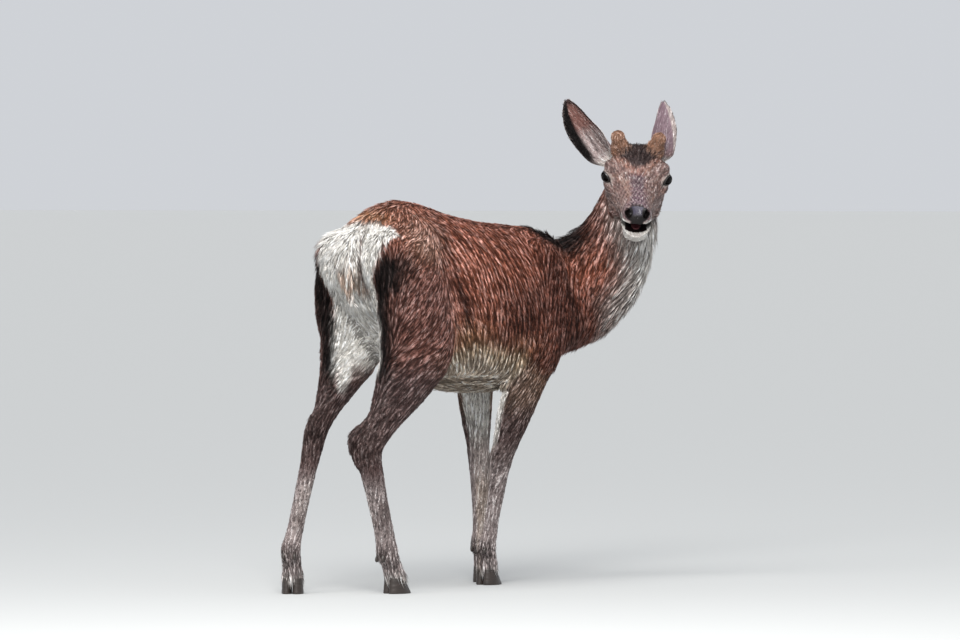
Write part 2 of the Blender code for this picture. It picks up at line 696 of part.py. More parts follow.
def knob(name, side):
    """A short rounded stump of first antler in its velvet."""
    foot, tip = (Vector((p[0], side * p[1], p[2])) for p in (KNOB_FOOT, KNOB_TIP))
    rings = []
    along = (tip - foot).normalized()
    across = along.cross(Vector((1, 0, 0))).normalized()
    for share, size in ((-0.45, 1.05), (0.0, 1.0), (0.45, 0.94), (0.8, 0.86)):
        centre = foot + (tip - foot) * share
        angles = np.linspace(0, 2 * math.pi, 12, endpoint=False)
        radius = KNOB_RADIUS * size
        other = across.cross(along)
        rings.append([np.array(centre + (across * math.cos(a) + other * math.sin(a)) * radius) for a in angles])
    made = loft(name, rings, 0.75)
    made.data.transform(head_matrix())
    return made


def eye(name, side):
    """An eyeball."""
    centre = head_matrix() @ Vector((EYE_CENTRE[0], side * EYE_CENTRE[1], EYE_CENTRE[2]))
    bm = bmesh.new()
    place = Matrix.Translation(centre)
    bmesh.ops.create_uvsphere(bm, u_segments=16, v_segments=9, radius=EYE_RADIUS, matrix=place)
    return object_from(name, bm)


def hollow_head(head):
    """Opens the sockets and the mouth."""
    for side in (1, -1):
        centre = head_matrix() @ Vector((EYE_CENTRE[0], side * EYE_CENTRE[1], EYE_CENTRE[2]))
        boolean(head, hidden(ellipsoid(f"socket_{side}", centre, [EYE_RADIUS + SOCKET_GAP] * 3)))
    outline = [(MOUTH_CORNER, 0.0015), (MOUTH_CORNER, -0.0015), (MOUTH_FRONT, -MOUTH_OPEN)]
    outline.append((MOUTH_FRONT, MOUTH_OPEN * 0.1))
    gape = prism("gape", outline, -0.06, 0.06, (1, 0, 0), (0, 0, 1), (0, 0, MOUTH_LEVEL))
    gape.data.transform(head_matrix())
    boolean(head, gape)
    cavity = hidden(ellipsoid("cavity", (0.146, 0, MOUTH_LEVEL - 0.008), (0.036, 0.0190, 0.0120)))
    cavity.data.transform(head_matrix())
    boolean(head, cavity)


def tongue():
    """A small flat tongue lying in the mouth."""
    made = ellipsoid("tongue", (0.145, 0, MOUTH_LEVEL - 0.0145), (0.026, 0.0125, 0.0040))
    made.data.transform(head_matrix())
    return made


def paint(thing, finish):
    """Gives an object its own material."""
    colour, roughness = COLOURS[finish]
    material = bpy.data.materials.new(thing.name)
    material.use_nodes = True
    shader = material.node_tree.nodes["Principled BSDF"]
    shader.inputs["Base Color"].default_value = (*colour, 1)
    shader.inputs["Roughness"].default_value = roughness
    shader.inputs["Metallic"].default_value = 0.0
    thing.data.materials.clear()
    thing.data.materials.append(material)


def main():
    """Builds every node, puts the origin under the middle of them all, and names and paints them."""
    for thing in list(bpy.data.objects):
        bpy.data.objects.remove(thing)
    nodes = part_body(fused_body())
    hollow_head(nodes["head"])
    finish = {name: "coat_red" for name in nodes}
    finish.update({name: "coat_grey" for name in nodes if name.startswith(("shank", "cannon", "head"))})
    head_clear = swollen(nodes["head"], GAP)
    for side, hand in ((1, "left"), (-1, "right")):
        nodes["eye_" + hand] = eye("eye_" + hand, side)
        finish["eye_" + hand] = "eye"
        nodes["knob_" + hand] = knob("knob_" + hand, side)
        nodes["ear_" + hand] = hollow_ear("ear_" + hand, *EARS["ear_" + hand])
        boolean(nodes["knob_" + hand], head_clear)
        boolean(nodes["ear_" + hand], head_clear)
        finish["knob_" + hand] = finish["ear_" + hand] = "coat_grey"
    nodes["tongue"] = tongue()
    thin(nodes["tongue"], TRIANGLES["tongue"])
    finish["tongue"] = "mouth"
    nodes["tail"] = tail_form()
    thin(nodes["tail"], TRIANGLES["tail"])
    boolean(nodes["tail"], swollen(nodes["trunk"], GAP))
    finish["tail"] = "coat_pale"
    for leg in JOINTS:
        lower = nodes[("shank_" if leg.startswith("hind") else "cannon_") + leg]
        clear = swollen(lower, GAP)
        for inner in (True, False):
            place = "inner" if inner else "outer"
            nodes[f"claw_{leg}_{place}"] = claw(f"claw_{leg}_{place}", leg, inner)
            nodes[f"dewclaw_{leg}_{place}"] = dewclaw(f"dewclaw_{leg}_{place}", leg, inner)
            boolean(nodes[f"dewclaw_{leg}_{place}"], clear)
            finish[f"claw_{leg}_{place}"] = finish[f"dewclaw_{leg}_{place}"] = "horn"
    home = bpy.data.collections.new("red_deer_stag")
    bpy.context.scene.collection.children.link(home)
    corners = np.array([v.co for thing in nodes.values() for v in thing.data.vertices])
    low, high = corners.min(0), corners.max(0)
    shift = Matrix.Translation((-(low[0] + high[0]) / 2, -(low[1] + high[1]) / 2, -low[2]))
    for name, thing in nodes.items():
        thing.name = thing.data.name = name
        thing.data.transform(shift)
        for old in list(thing.users_collection):
            old.objects.unlink(thing)
        home.objects.link(thing)
        paint(thing, finish[name])
    return shift


SHIFT = main().translation
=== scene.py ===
"""A life-size museum figure of a young red deer stag that stands and looks back past its right side.

The flesh is one skin: lofts along the trunk, neck, head and legs are fused, softened and drawn in by the
depth of the coat.  The coat is tufts of solid mesh that follow its lie, coloured by the same markings as
the skin.  Eyes, teeth, tongue, claws and dewclaws are pieces of their own.
"""

import json
import logging
import math
from collections.abc import Callable
from dataclasses import dataclass, field, fields
from enum import Enum, IntEnum

import bmesh
import bpy
import numpy as np
from mathutils import Matrix, Vector
from mathutils.bvhtree import BVHTree
from mathutils.kdtree import KDTree

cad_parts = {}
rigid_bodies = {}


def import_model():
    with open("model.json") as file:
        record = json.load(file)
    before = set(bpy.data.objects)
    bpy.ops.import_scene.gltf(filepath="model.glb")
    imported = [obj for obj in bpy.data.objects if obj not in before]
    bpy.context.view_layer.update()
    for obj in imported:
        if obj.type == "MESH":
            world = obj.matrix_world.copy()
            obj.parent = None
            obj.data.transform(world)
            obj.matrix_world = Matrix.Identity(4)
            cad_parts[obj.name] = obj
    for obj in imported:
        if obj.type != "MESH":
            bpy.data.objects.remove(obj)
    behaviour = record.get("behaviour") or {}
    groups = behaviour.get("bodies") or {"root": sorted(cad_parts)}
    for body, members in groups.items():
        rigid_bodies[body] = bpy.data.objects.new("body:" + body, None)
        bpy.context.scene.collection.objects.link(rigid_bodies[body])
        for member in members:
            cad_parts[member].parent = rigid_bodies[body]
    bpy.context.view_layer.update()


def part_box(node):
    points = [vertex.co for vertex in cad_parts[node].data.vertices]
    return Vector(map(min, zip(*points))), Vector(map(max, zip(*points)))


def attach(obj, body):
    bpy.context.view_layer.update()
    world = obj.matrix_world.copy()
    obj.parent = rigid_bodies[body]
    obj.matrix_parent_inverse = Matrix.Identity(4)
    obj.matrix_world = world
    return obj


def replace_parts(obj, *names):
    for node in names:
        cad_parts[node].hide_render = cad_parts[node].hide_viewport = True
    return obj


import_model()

logging.basicConfig(level=logging.INFO, format="%(name)s: %(message)s")
log = logging.getLogger("stag")

Array = np.ndarray
Table = Array | list | tuple
UP = np.array((0.0, 0.0, 1.0))
LEFT = np.array((0.0, 1.0, 0.0))
BODY = "root"  # the one body that every piece rides on


class Part(Enum):
    """The regions of the animal that the lie of the coat and the unwrap go by."""

    TRUNK = 0
    NECK = 1
    HEAD = 2
    HIND_RIGHT = 3
    HIND_LEFT = 4
    FORE_RIGHT = 5
    FORE_LEFT = 6
    TAIL = 7
    EAR_RIGHT = 8
    EAR_LEFT = 9
    KNOBS = 10


# ---------------------------------------------------------------- numbers and curves


def unit(vectors: Array) -> Array:
    """Scales one vector, or rows of them, to length one."""
    return vectors / np.maximum(np.linalg.norm(vectors, axis=-1, keepdims=True), 1e-12)


def ease(value: Array, low: float, high: float) -> Array:
    """Rises smoothly from 0 at low to 1 at high, by 3t^2 - 2t^3; low may be the greater."""
    t = np.clip((np.asarray(value, float) - low) / (high - low), 0.0, 1.0)
    return t * t * (3.0 - 2.0 * t)


def dots(first: Array, second: Array) -> Array:
    """The dot product of each two rows."""
    return np.einsum("ij,ij->i", first, second)


def squared(vectors: Array, axes: Array) -> Array:
    """Rows of vectors turned square to rows of unit axes, and made unit vectors: v - (v.a) a."""
    return unit(vectors - axes * dots(np.broadcast_to(vectors, axes.shape), axes)[:, None])


def bell(value: Array, width: float) -> Array:
    """A bell curve round zero: exp(-(value / width)^2)."""
    return np.exp(-((value / width) ** 2))


def smooth_rows(rows: Table, steps: int) -> Array:
    """Runs a Catmull-Rom curve through the rows of a table.

    Args:
        rows: the table.
        steps: steps between each two rows.

    Returns:
        The finer table, which includes every row of the first.
    """
    rows = np.array(rows, float)
    padded = np.vstack([2 * rows[0] - rows[1], rows, 2 * rows[-1] - rows[-2]])
    a, b, c, d = padded[:-3, None], padded[1:-2, None], padded[2:-1, None], padded[3:, None]
    t = (np.arange(steps) / steps)[None, :, None]
    curve = 0.5 * (2 * b + (c - a) * t + (2 * a - 5 * b + 4 * c - d) * t**2 + (3 * b - a - 3 * c + d) * t**3)
    return np.vstack([curve.reshape(-1, rows.shape[1]), rows[-1:]])


def tangents(path: Array) -> Array:
    """Unit directions along a path, one for each point, by central differences."""
    return unit(np.gradient(path, axis=0))


def ovals(
    centres: Array, across: Array, up: Array, half: Table, high: Table, low: Table,
    power: Array | float = 1.0, count: int = 56,
) -> Array:
    """Rings whose upper and lower halves may differ: half * cos^power across, high or low * sin^power up.

    Args:
        centres: the middle of each ring.
        across: the unit direction of each ring's width.
        up: the unit direction of each ring's height.
        half: half the width of each ring.
        high: the height above the centre.
        low: the depth below it.
        power: under 1 makes the ring squarer.
        count: points round a ring.

    Returns:
        An array of rings by points by three.
    """
    angle = np.linspace(0, 2 * math.pi, count, endpoint=False)
    c, s = np.cos(angle), np.sin(angle)
    power = np.broadcast_to(np.asarray(power, float), np.shape(half))[:, None]
    sideways = np.asarray(half)[:, None] * np.sign(c) * np.abs(c) ** power
    tall = np.where(s > 0, np.asarray(high)[:, None], np.asarray(low)[:, None])
    height = tall * np.sign(s) * np.abs(s) ** power
    across, up = (np.broadcast_to(way, np.shape(centres))[:, None] for way in (across, up))
    return np.asarray(centres)[:, None] + sideways[..., None] * across + height[..., None] * up


def girdle(rows: int, count: int) -> tuple[Array, Array]:
    """Quads round a stack of closed rings.

    Args:
        rows: how many rings there are.
        count: points round each.

    Returns:
        The point numbers by ring, and the quads.
    """
    index = np.arange(rows * count).reshape(rows, count)
    ahead = np.roll(index, -1, 1)
    return index, np.stack([index[:-1], ahead[:-1], ahead[1:], index[1:]], -1).reshape(-1, 4)


@dataclass
class Shell:
    """Points and faces of one or more closed skins, before they become an object."""

    points: Array
    faces: list

    @staticmethod
    def stacked(rings: Array) -> "Shell":
        """Closes a stack of rings with a flat face at each end.

        Args:
            rings: an array of rings by points by three.

        Returns:
            The closed skin.
        """
        index, side = girdle(*rings.shape[:2])
        faces = side.tolist() + [index[0][::-1].tolist(), index[-1].tolist()]
        return Shell(rings.reshape(-1, 3), faces).turned_out()

    @staticmethod
    def of_rings(rings: Array, cap: float = 0.5) -> "Shell":
        """Closes a stack of rings with rounded ends, middle + out sin(a) + radius cos(a) at three angles a.

        Args:
            rings: an array of rings by points by three.
            cap: how far each end stands out, as a share of its radius.

        Returns:
            The closed skin.
        """
        ends = []
        for first, second in ((rings[0], rings[1]), (rings[-1], rings[-2])):
            middle = first.mean(0)
            size = np.linalg.norm(first - middle, axis=1).mean()
            out, spread = unit(middle - second.mean(0)) * size * cap, first - middle
            ends.append([middle + out * math.sin(a) + spread * math.cos(a) for a in (1.3, 0.95, 0.5)])
        return Shell.stacked(np.array(ends[0] + list(rings) + ends[1][::-1]))

    @staticmethod
    def ball(centre: Table, radii: Table, turn: Array = np.eye(3), across: int = 32) -> "Shell":
        """A ball squashed to three radii and turned about its centre.

        Args:
            centre: its middle.
            radii: its three radii before the turn.
            turn: a matrix of three by three.
            across: points round it, and twice as many as from pole to pole.

        Returns:
            The closed skin.
        """
        tilt = np.linspace(-math.pi / 2, math.pi / 2, across // 2 + 1)[1:-1]
        turns = np.linspace(0, 2 * math.pi, across, endpoint=False)
        rings = np.stack(
            [np.outer(np.cos(tilt), np.cos(turns)), np.outer(np.cos(tilt), np.sin(turns)),
             np.outer(np.sin(tilt), np.ones(across))], -1
        )
        points = np.vstack([rings.reshape(-1, 3), [(0, 0, -1), (0, 0, 1)]])
        index, side = girdle(len(rings), across)
        low, high = len(points) - 2, len(points) - 1
        faces = side.tolist() + [[low, b, a] for a, b in zip(index[0], np.roll(index[0], -1))]
        faces += [[high, a, b] for a, b in zip(index[-1], np.roll(index[-1], -1))]
        return Shell(points * np.asarray(radii) @ np.asarray(turn).T + np.asarray(centre), faces).turned_out()

    def moved(self, matrix: Matrix) -> "Shell":
        """The same skin in another place."""
        m = np.array(matrix)
        return Shell(self.points @ m[:3, :3].T + m[:3, 3], self.faces)

    def turned_out(self) -> "Shell":
        """The same skin with its faces outward, judged by the sign of its volume.

        Returns:
            This skin.
        """
        middle = self.points.mean(0)
        volume = 0.0
        for face in self.faces:
            p = self.points[list(face)] - middle
            volume += np.cross(p[1:-1], p[2:]).sum(0) @ p[0]
        if volume < 0:
            self.faces = [list(face)[::-1] for face in self.faces]
        return self

    def plus(self, *others: "Shell") -> "Shell":
        """This skin and others as one set of points and faces.

        Args:
            others: the other skins.

        Returns:
            The new skin, its points and faces in the order given.
        """
        points, faces = [self.points], list(self.faces)
        for other in others:
            start = sum(len(p) for p in points)
            points.append(other.points)
            faces += [[start + i for i in face] for face in other.faces]
        return Shell(np.vstack(points), faces)


def linked(name: str, data: bpy.types.ID) -> bpy.types.Object:
    """A new object of this data, linked to the scene.

    Args:
        name: its name.
        data: a mesh, lamp or camera.

    Returns:
        The object.
    """
    thing = bpy.data.objects.new(name, data)
    bpy.context.scene.collection.objects.link(thing)
    return thing


def make_object(name: str, shell: Shell) -> bpy.types.Object:
    """An object at the origin that holds a skin, moved into the model's frame.

    Args:
        name: the object's name.
        shell: points in the animal's frame, and faces.

    Returns:
        The object, linked to the scene.
    """
    mesh = bpy.data.meshes.new(name)
    mesh.from_pydata((shell.points + OFFSET).tolist(), [], shell.faces)
    mesh.update()
    mesh.shade_smooth()
    return linked(name, mesh)


def shell_of(thing: bpy.types.Object) -> Shell:
    """Reads an object's mesh back, modifiers included, and removes the object.

    Args:
        thing: an object at the origin.

    Returns:
        Its points, in the animal's frame, and its faces.
    """
    graph = bpy.context.evaluated_depsgraph_get()
    mesh = bpy.data.meshes.new_from_object(thing.evaluated_get(graph))
    points = np.empty(len(mesh.vertices) * 3)
    mesh.vertices.foreach_get("co", points)
    corners = np.empty(len(mesh.loops), np.int32)
    mesh.loops.foreach_get("vertex_index", corners)
    starts = np.empty(len(mesh.polygons), np.int32)
    mesh.polygons.foreach_get("loop_start", starts)
    faces = [part.tolist() for part in np.split(corners, starts[1:])]
    bpy.data.objects.remove(thing)
    bpy.data.meshes.remove(mesh)
    return Shell(points.reshape(-1, 3) - OFFSET, faces)


def melt(thing: bpy.types.Object, voxel: float, passes: int) -> None:
    """Adds the modifiers that make one skin of even faces and soften it.

    Args:
        thing: the object.
        voxel: the size of the new faces.
        passes: how often it is softened.
    """
    even = thing.modifiers.new("melt", "REMESH")
    even.mode, even.voxel_size, even.adaptivity = "VOXEL", voxel, 0.0
    soften = thing.modifiers.new("soften", "SMOOTH")
    soften.factor, soften.iterations = 0.5, passes


def fused(shell: Shell, voxel: float, passes: int, cutters: tuple = ()) -> Shell:
    """Fuses overlapping skins into one, softens it, and takes cutters out of it.

    Args:
        shell: overlapping closed skins.
        voxel: the size of the new faces.
        passes: how often it is softened.
        cutters: closed skins that are taken away, after which it is softened again.

    Returns:
        One closed skin of even faces.
    """
    thing = make_object("fusing", shell)
    melt(thing, voxel, passes)
    tools = [make_object("cutter", cutter) for cutter in cutters]
    for tool in tools:
        cut = thing.modifiers.new("cut", "BOOLEAN")
        cut.operation, cut.object, cut.solver = "DIFFERENCE", tool, "EXACT"
    if tools:
        melt(thing, voxel, CUT_EDGE_PASSES)
    made = shell_of(thing)
    for tool in tools:
        bpy.data.objects.remove(tool)
    return made


CUT_EDGE_PASSES = 3  # how often the edges of a cut are softened


def softened(shell: Shell, share: Array, passes: int) -> Shell:
    """Moves points towards the middle of their neighbours.

    Args:
        shell: the skin.
        share: how far each point moves in one pass, from 0 to 1.
        passes: how often.

    Returns:
        The softer skin.
    """
    corner = triangles(shell.faces)
    a, b = np.concatenate([corner[:, (0, 1)], corner[:, (1, 2)], corner[:, (2, 0)]]).T
    points = shell.points.copy()
    count = np.maximum(np.bincount(a, minlength=len(points)), 1)
    for _ in range(passes):
        middle = np.stack([np.bincount(a, points[b, k], len(points)) for k in range(3)], 1) / count[:, None]
        points += (middle - points) * share[:, None]
    return Shell(points, shell.faces)


def thinned(shell: Shell, share: float, loose: Array) -> Shell:
    """Takes faces away where the skin is plain, by collapsing edges.

    Args:
        shell: the skin.
        share: the share of its triangles that stays.
        loose: True for each point that may go.

    Returns:
        The lighter skin.
    """
    thing = make_object("thinning", shell)
    thing.vertex_groups.new(name="loose").add(np.flatnonzero(loose).tolist(), 1.0, "REPLACE")
    thin = thing.modifiers.new("thin", "DECIMATE")
    thin.ratio, thin.vertex_group = share, "loose"
    return shell_of(thing)


def vertex_normals(shell: Shell) -> Array:
    """Outward normals at the points of a skin of quads and triangles, weighted by area.

    Args:
        shell: the skin.

    Returns:
        One unit normal for each point.
    """
    corners = triangles(shell.faces)
    p = shell.points[corners]
    face = np.cross(p[:, 1] - p[:, 0], p[:, 2] - p[:, 0])
    total = np.zeros_like(shell.points)
    for k in range(3):
        np.add.at(total, corners[:, k], face)
    return unit(total)


def triangles(faces: list) -> Array:
    """Splits faces into triangles fanned from their first corner.

    Args:
        faces: lists of point numbers.

    Returns:
        Rows of three point numbers.
    """
    by_size: dict = {}
    for face in faces:
        by_size.setdefault(len(face), []).append(face)
    parts = []
    for size, group in by_size.items():
        group = np.array(group)
        for k in range(1, size - 1):
            parts.append(group[:, (0, k, k + 1)])
    return np.vstack(parts)


# ---------------------------------------------------------------- the forms under the coat


@dataclass
class Line:
    """A centreline that the lie of the coat, the unwrap and the markings are measured along."""

    part: Part
    points: Array
    size: Array  # mean radius at each point
    front: Array  # the direction that counts as the front of the unwrap, at each point


def both_sides(centre: tuple) -> list:
    """A place on the left and its twin on the right, in that order."""
    return [np.array(centre) * (1, side, 1) for side in (1, -1)]


@dataclass
class Trunk:
    """Chest, belly, loin and rump."""

    rows: tuple = (  # x, top, bottom, half width
        (-0.506, 0.888, 0.760, 0.070), (-0.470, 0.922, 0.725, 0.104), (-0.415, 0.958, 0.675, 0.120),
        (-0.330, 0.988, 0.600, 0.134), (-0.230, 0.981, 0.535, 0.136), (-0.110, 0.954, 0.500, 0.141),
        (0.010, 0.936, 0.492, 0.144), (0.120, 0.928, 0.500, 0.134), (0.220, 0.921, 0.524, 0.116),
        (0.310, 0.906, 0.565, 0.096), (0.375, 0.870, 0.625, 0.068),
    )
    middle: float = 0.47  # height of the widest line, as a share
    spine_narrowing: float = 0.22
    muscles: tuple = (  # centre, radii, pitch in degrees, on both sides
        ((-0.440, 0.076, 0.835), (0.070, 0.050, 0.090), 10),
        ((-0.270, 0.066, 0.880), (0.110, 0.048, 0.060), 8),
        ((0.205, 0.078, 0.770), (0.095, 0.046, 0.130), -18),
        ((0.262, 0.084, 0.660), (0.070, 0.042, 0.078), 0),
    )

    def shell(self) -> Shell:
        """The loft and its muscles, overlapping.

        Returns:
            Closed skins that overlap.
        """
        x, top, bottom, half = smooth_rows(self.rows, 5).T
        middle = bottom + self.middle * (top - bottom)
        centres = np.stack([x, 0 * x, middle], -1)
        rings = ovals(centres, LEFT, UP, half, top - middle, middle - bottom, 0.92)
        rise = np.clip((rings[..., 2] - middle[:, None]) / (top - middle)[:, None], 0, 1)
        rings[..., 1] *= 1 - self.spine_narrowing * rise**2
        made = Shell.of_rings(rings)
        for centre, radii, pitch in self.muscles:
            turn = np.array(Matrix.Rotation(math.radians(pitch), 3, "Y"))
            made = made.plus(*(Shell.ball(place, radii, turn) for place in both_sides(centre)))
        return made

    def line(self) -> Line:
        """The centreline, from rump to chest.

        Returns:
            The line.
        """
        x, top, bottom, half = smooth_rows(self.rows, 5).T
        points = np.stack([x, 0 * x, bottom + self.middle * (top - bottom)], -1)
        return Line(Part.TRUNK, points, (half + (top - bottom) / 2) / 2, np.tile(-UP, (len(x), 1)))


@dataclass
class Neck:
    """A bent neck that also twists, so that the nape turns from behind to beyond the head."""

    rows: tuple = (  # x, y, z, half width, nape depth, throat depth, bearing of the nape in degrees
        (0.255, 0, 0.735, 0.100, 0.165, 0.165, 178), (0.345, 0, 0.745, 0.098, 0.160, 0.164, 172),
        (0.425, -0.012, 0.765, 0.092, 0.140, 0.156, 155), (0.492, -0.045, 0.830, 0.086, 0.113, 0.139, 128),
        (0.524, -0.082, 0.905, 0.081, 0.094, 0.118, 92), (0.536, -0.110, 0.985, 0.075, 0.081, 0.096, 60),
        (0.540, -0.126, 1.050, 0.064, 0.068, 0.072, 42),
    )

    def frames(self, first: int = 0) -> tuple[Array, Array, Array, Array]:
        """The smoothed rows, their centres, and the directions along and towards the nape.

        Args:
            first: the row to start from.

        Returns:
            The four arrays.
        """
        rows = smooth_rows(self.rows, 5)
        centres = rows[:, :3]
        along = tangents(centres)
        bearing = np.radians(rows[:, 6])
        nape = np.stack([np.cos(bearing), np.sin(bearing), 0 * bearing], -1)
        nape = squared(nape, along)
        keep = slice(first * 5, None)
        return rows[keep], centres[keep], along[keep], nape[keep]

    def shell(self, first: int = 0, grown: float = 0.0) -> Shell:
        """The loft from this row up, made larger by a length.

        Args:
            first: the row to start from.
            grown: a length that widens it.

        Returns:
            The closed skin.
        """
        rows, centres, along, nape = self.frames(first)
        half, high, low = (rows[:, 3:6] + grown).T
        return Shell.of_rings(ovals(centres, np.cross(along, nape), nape, half, high, low, 0.95))

    def line(self) -> Line:
        """The centreline, from chest to head."""
        rows, centres, _, nape = self.frames()
        return Line(Part.NECK, centres, rows[:, 3:6].mean(1), -nape)


@dataclass
class Leg:
    """One leg, from the flesh of its shoulder or thigh down to the coronet."""

    part: Part
    joints: tuple
    toe_out: float  # degrees
    form: tuple  # place along the joints, shift forwards, half depth, half width

    @property
    def side(self) -> int:
        """1 on the animal's left, -1 on its right."""
        return 1 if self.part in (Part.HIND_LEFT, Part.FORE_LEFT) else -1

    @property
    def hind(self) -> bool:
        """Whether this is a hind leg."""
        return self.part in (Part.HIND_LEFT, Part.HIND_RIGHT)

    def ahead(self, place: Array | float = 4.0) -> Array:
        """The direction that is forwards for the leg, turning out towards the toes.

        Args:
            place: where along the joints, 4 being the foot.

        Returns:
            A level unit direction for each place.
        """
        turn = math.radians(self.toe_out) * self.side * np.clip(np.asarray(place) - 0.8, 0, 1.2) / 1.2
        return np.stack([np.cos(turn), np.sin(turn), 0 * turn], -1)

    def rows(self, steps: int = 5) -> Array:
        """Centres, half depths, half widths and places along the joints, with this many steps a row.

        Args:
            steps: steps between each two rows of the form.

        Returns:
            Six columns.
        """
        joints = np.array(self.joints)
        place, shift, deep, half = np.array(self.form).T
        i = np.clip(np.floor(place).astype(int), 0, len(joints) - 2)
        centres = joints[i] + (joints[i + 1] - joints[i]) * (place - i)[:, None]
        centres = centres + shift[:, None] * self.ahead(place)
        return smooth_rows(np.column_stack([centres, deep, half, place]), steps)

    def shell(self) -> Shell:
        """The loft, each ring square to the bone, with the point of the hock and the tendons.

        Returns:
            The closed skin, and the hamstring's on a hind leg.
        """
        rows = self.rows()
        along = tangents(rows[:, :3])
        front = squared(self.ahead(rows[:, 5]), along)
        across = np.cross(along, front)
        rings = ovals(rows[:, :3], across, front, rows[:, 4], rows[:, 3], rows[:, 3])
        made = Shell.of_rings(rings, 0.3)
        if self.hind:
            made = made.plus(self.hamstring())
        return made

    def hamstring(self) -> Shell:
        """The flesh behind the thigh, drawn down into the tendon that ends at the point of the hock.

        Returns:
            The closed skin.
        """
        hock = np.array(self.joints[2])
        front = self.ahead(2.0)
        point = hock - front * HOCK_BACK + UP * HOCK_UP
        foot = hock - front * HOCK_BACK * 0.55 - UP * 0.050
        rows = [(x, self.side * y, z, size) for x, y, z, size in HAMSTRING]
        rows += [(*(0.45 * np.array(rows[-1][:3]) + 0.55 * point), 0.018), (*point, HOCK_RADIUS)]
        rows += [(*foot, HOCK_RADIUS * 0.8)]
        path = smooth_rows(rows, 5)
        along = tangents(path[:, :3])
        out = squared(front, along)
        size = path[:, 3]
        return Shell.of_rings(ovals(path[:, :3], np.cross(along, out), out, size * 0.85, size, size), 0.6)

    def line(self) -> Line:
        """The centreline, from the top down."""
        rows = self.rows()
        return Line(self.part, rows[:, :3], rows[:, 3:5].mean(1), self.ahead(rows[:, 5]))


HOCK_BACK, HOCK_UP, HOCK_RADIUS = 0.040, 0.022, 0.020  # the point of the hock, from its joint
HAMSTRING = (  # x, distance from the middle plane, z, radius
    (-0.405, 0.090, 0.765, 0.062), (-0.420, 0.098, 0.655, 0.052),
    (-0.430, 0.100, 0.560, 0.043), (-0.470, 0.099, 0.475, 0.029),
)
HIND_FORM = (  # place along the joints, shift forwards, half depth, half width
    (-0.10, -0.030, 0.120, 0.050), (0.25, -0.036, 0.132, 0.062), (0.65, -0.042, 0.130, 0.064),
    (1.00, -0.034, 0.118, 0.059), (1.28, -0.014, 0.097, 0.052), (1.50, -0.003, 0.073, 0.043),
    (1.72, 0.003, 0.050, 0.034), (1.88, 0.004, 0.041, 0.030), (2.02, 0, 0.042, 0.031),
    (2.16, 0, 0.036, 0.028), (2.35, 0, 0.031, 0.0235), (2.65, 0, 0.0285, 0.0215),
    (2.88, 0, 0.0285, 0.0225), (3.02, -0.003, 0.032, 0.027), (3.45, 0.001, 0.0275, 0.0265),
    (4.15, 0.004, 0.030, 0.030),
)
FORE_FORM = (  # as above
    (-0.12, 0, 0.070, 0.035), (0.40, 0.012, 0.098, 0.045), (0.80, 0.012, 0.088, 0.044),
    (1.05, 0, 0.074, 0.042), (1.30, -0.004, 0.064, 0.041), (1.60, -0.004, 0.052, 0.036),
    (1.86, -0.001, 0.037, 0.030), (2.00, 0, 0.035, 0.0295), (2.15, 0, 0.0305, 0.0265),
    (2.40, 0, 0.028, 0.023), (2.70, 0, 0.0245, 0.0205), (2.90, 0, 0.026, 0.0225),
    (3.02, -0.003, 0.031, 0.027), (3.45, 0.001, 0.0265, 0.026), (4.15, 0.004, 0.029, 0.0295),
)
LEGS = (
    Leg(
        Part.HIND_RIGHT,
        ((-0.330, -0.085, 0.850), (-0.300, -0.108, 0.640), (-0.530, -0.088, 0.372), (-0.446, -0.088, 0.105),
         (-0.424, -0.089, 0.045)), 20, HIND_FORM,
    ),
    Leg(
        Part.HIND_LEFT,
        ((-0.335, 0.085, 0.850), (-0.300, 0.108, 0.650), (-0.503, 0.098, 0.408), (-0.600, 0.100, 0.112),
         (-0.590, 0.104, 0.045)), 28, HIND_FORM,
    ),
    Leg(
        Part.FORE_RIGHT,
        ((0.225, -0.075, 0.800), (0.130, -0.105, 0.580), (0.046, -0.062, 0.318), (0.033, -0.030, 0.105),
         (0.037, -0.025, 0.045)), 8, FORE_FORM,
    ),
    Leg(
        Part.FORE_LEFT,
        ((0.225, 0.075, 0.800), (0.158, 0.110, 0.580), (0.149, 0.087, 0.318), (0.124, 0.062, 0.105),
         (0.132, 0.060, 0.045)), 12, FORE_FORM,
    ),
)


@dataclass
class Tail:
    """A short tail that hangs against the rump, flat across the animal."""

    rows: tuple = (  # x, y, z, half width, half depth
        (-0.480, 0, 0.900, 0.024, 0.016), (-0.516, -0.010, 0.870, 0.030, 0.018),
        (-0.536, -0.024, 0.820, 0.031, 0.016), (-0.540, -0.036, 0.768, 0.022, 0.012),
        (-0.538, -0.044, 0.730, 0.010, 0.007),
    )

    def shell(self) -> Shell:
        """The loft.

        Returns:
            The closed skin.
        """
        rows = smooth_rows(self.rows, 4)
        along = tangents(rows[:, :3])
        return Shell.of_rings(ovals(rows[:, :3], LEFT, np.cross(along, LEFT), *rows[:, (3, 4, 4)].T))

    def line(self) -> Line:
        """The centreline, from root to tip."""
        rows = smooth_rows(self.rows, 4)
        return Line(Part.TAIL, rows[:, :3], rows[:, 3:5].mean(1), np.tile((-1.0, 0, 0), (len(rows), 1)))


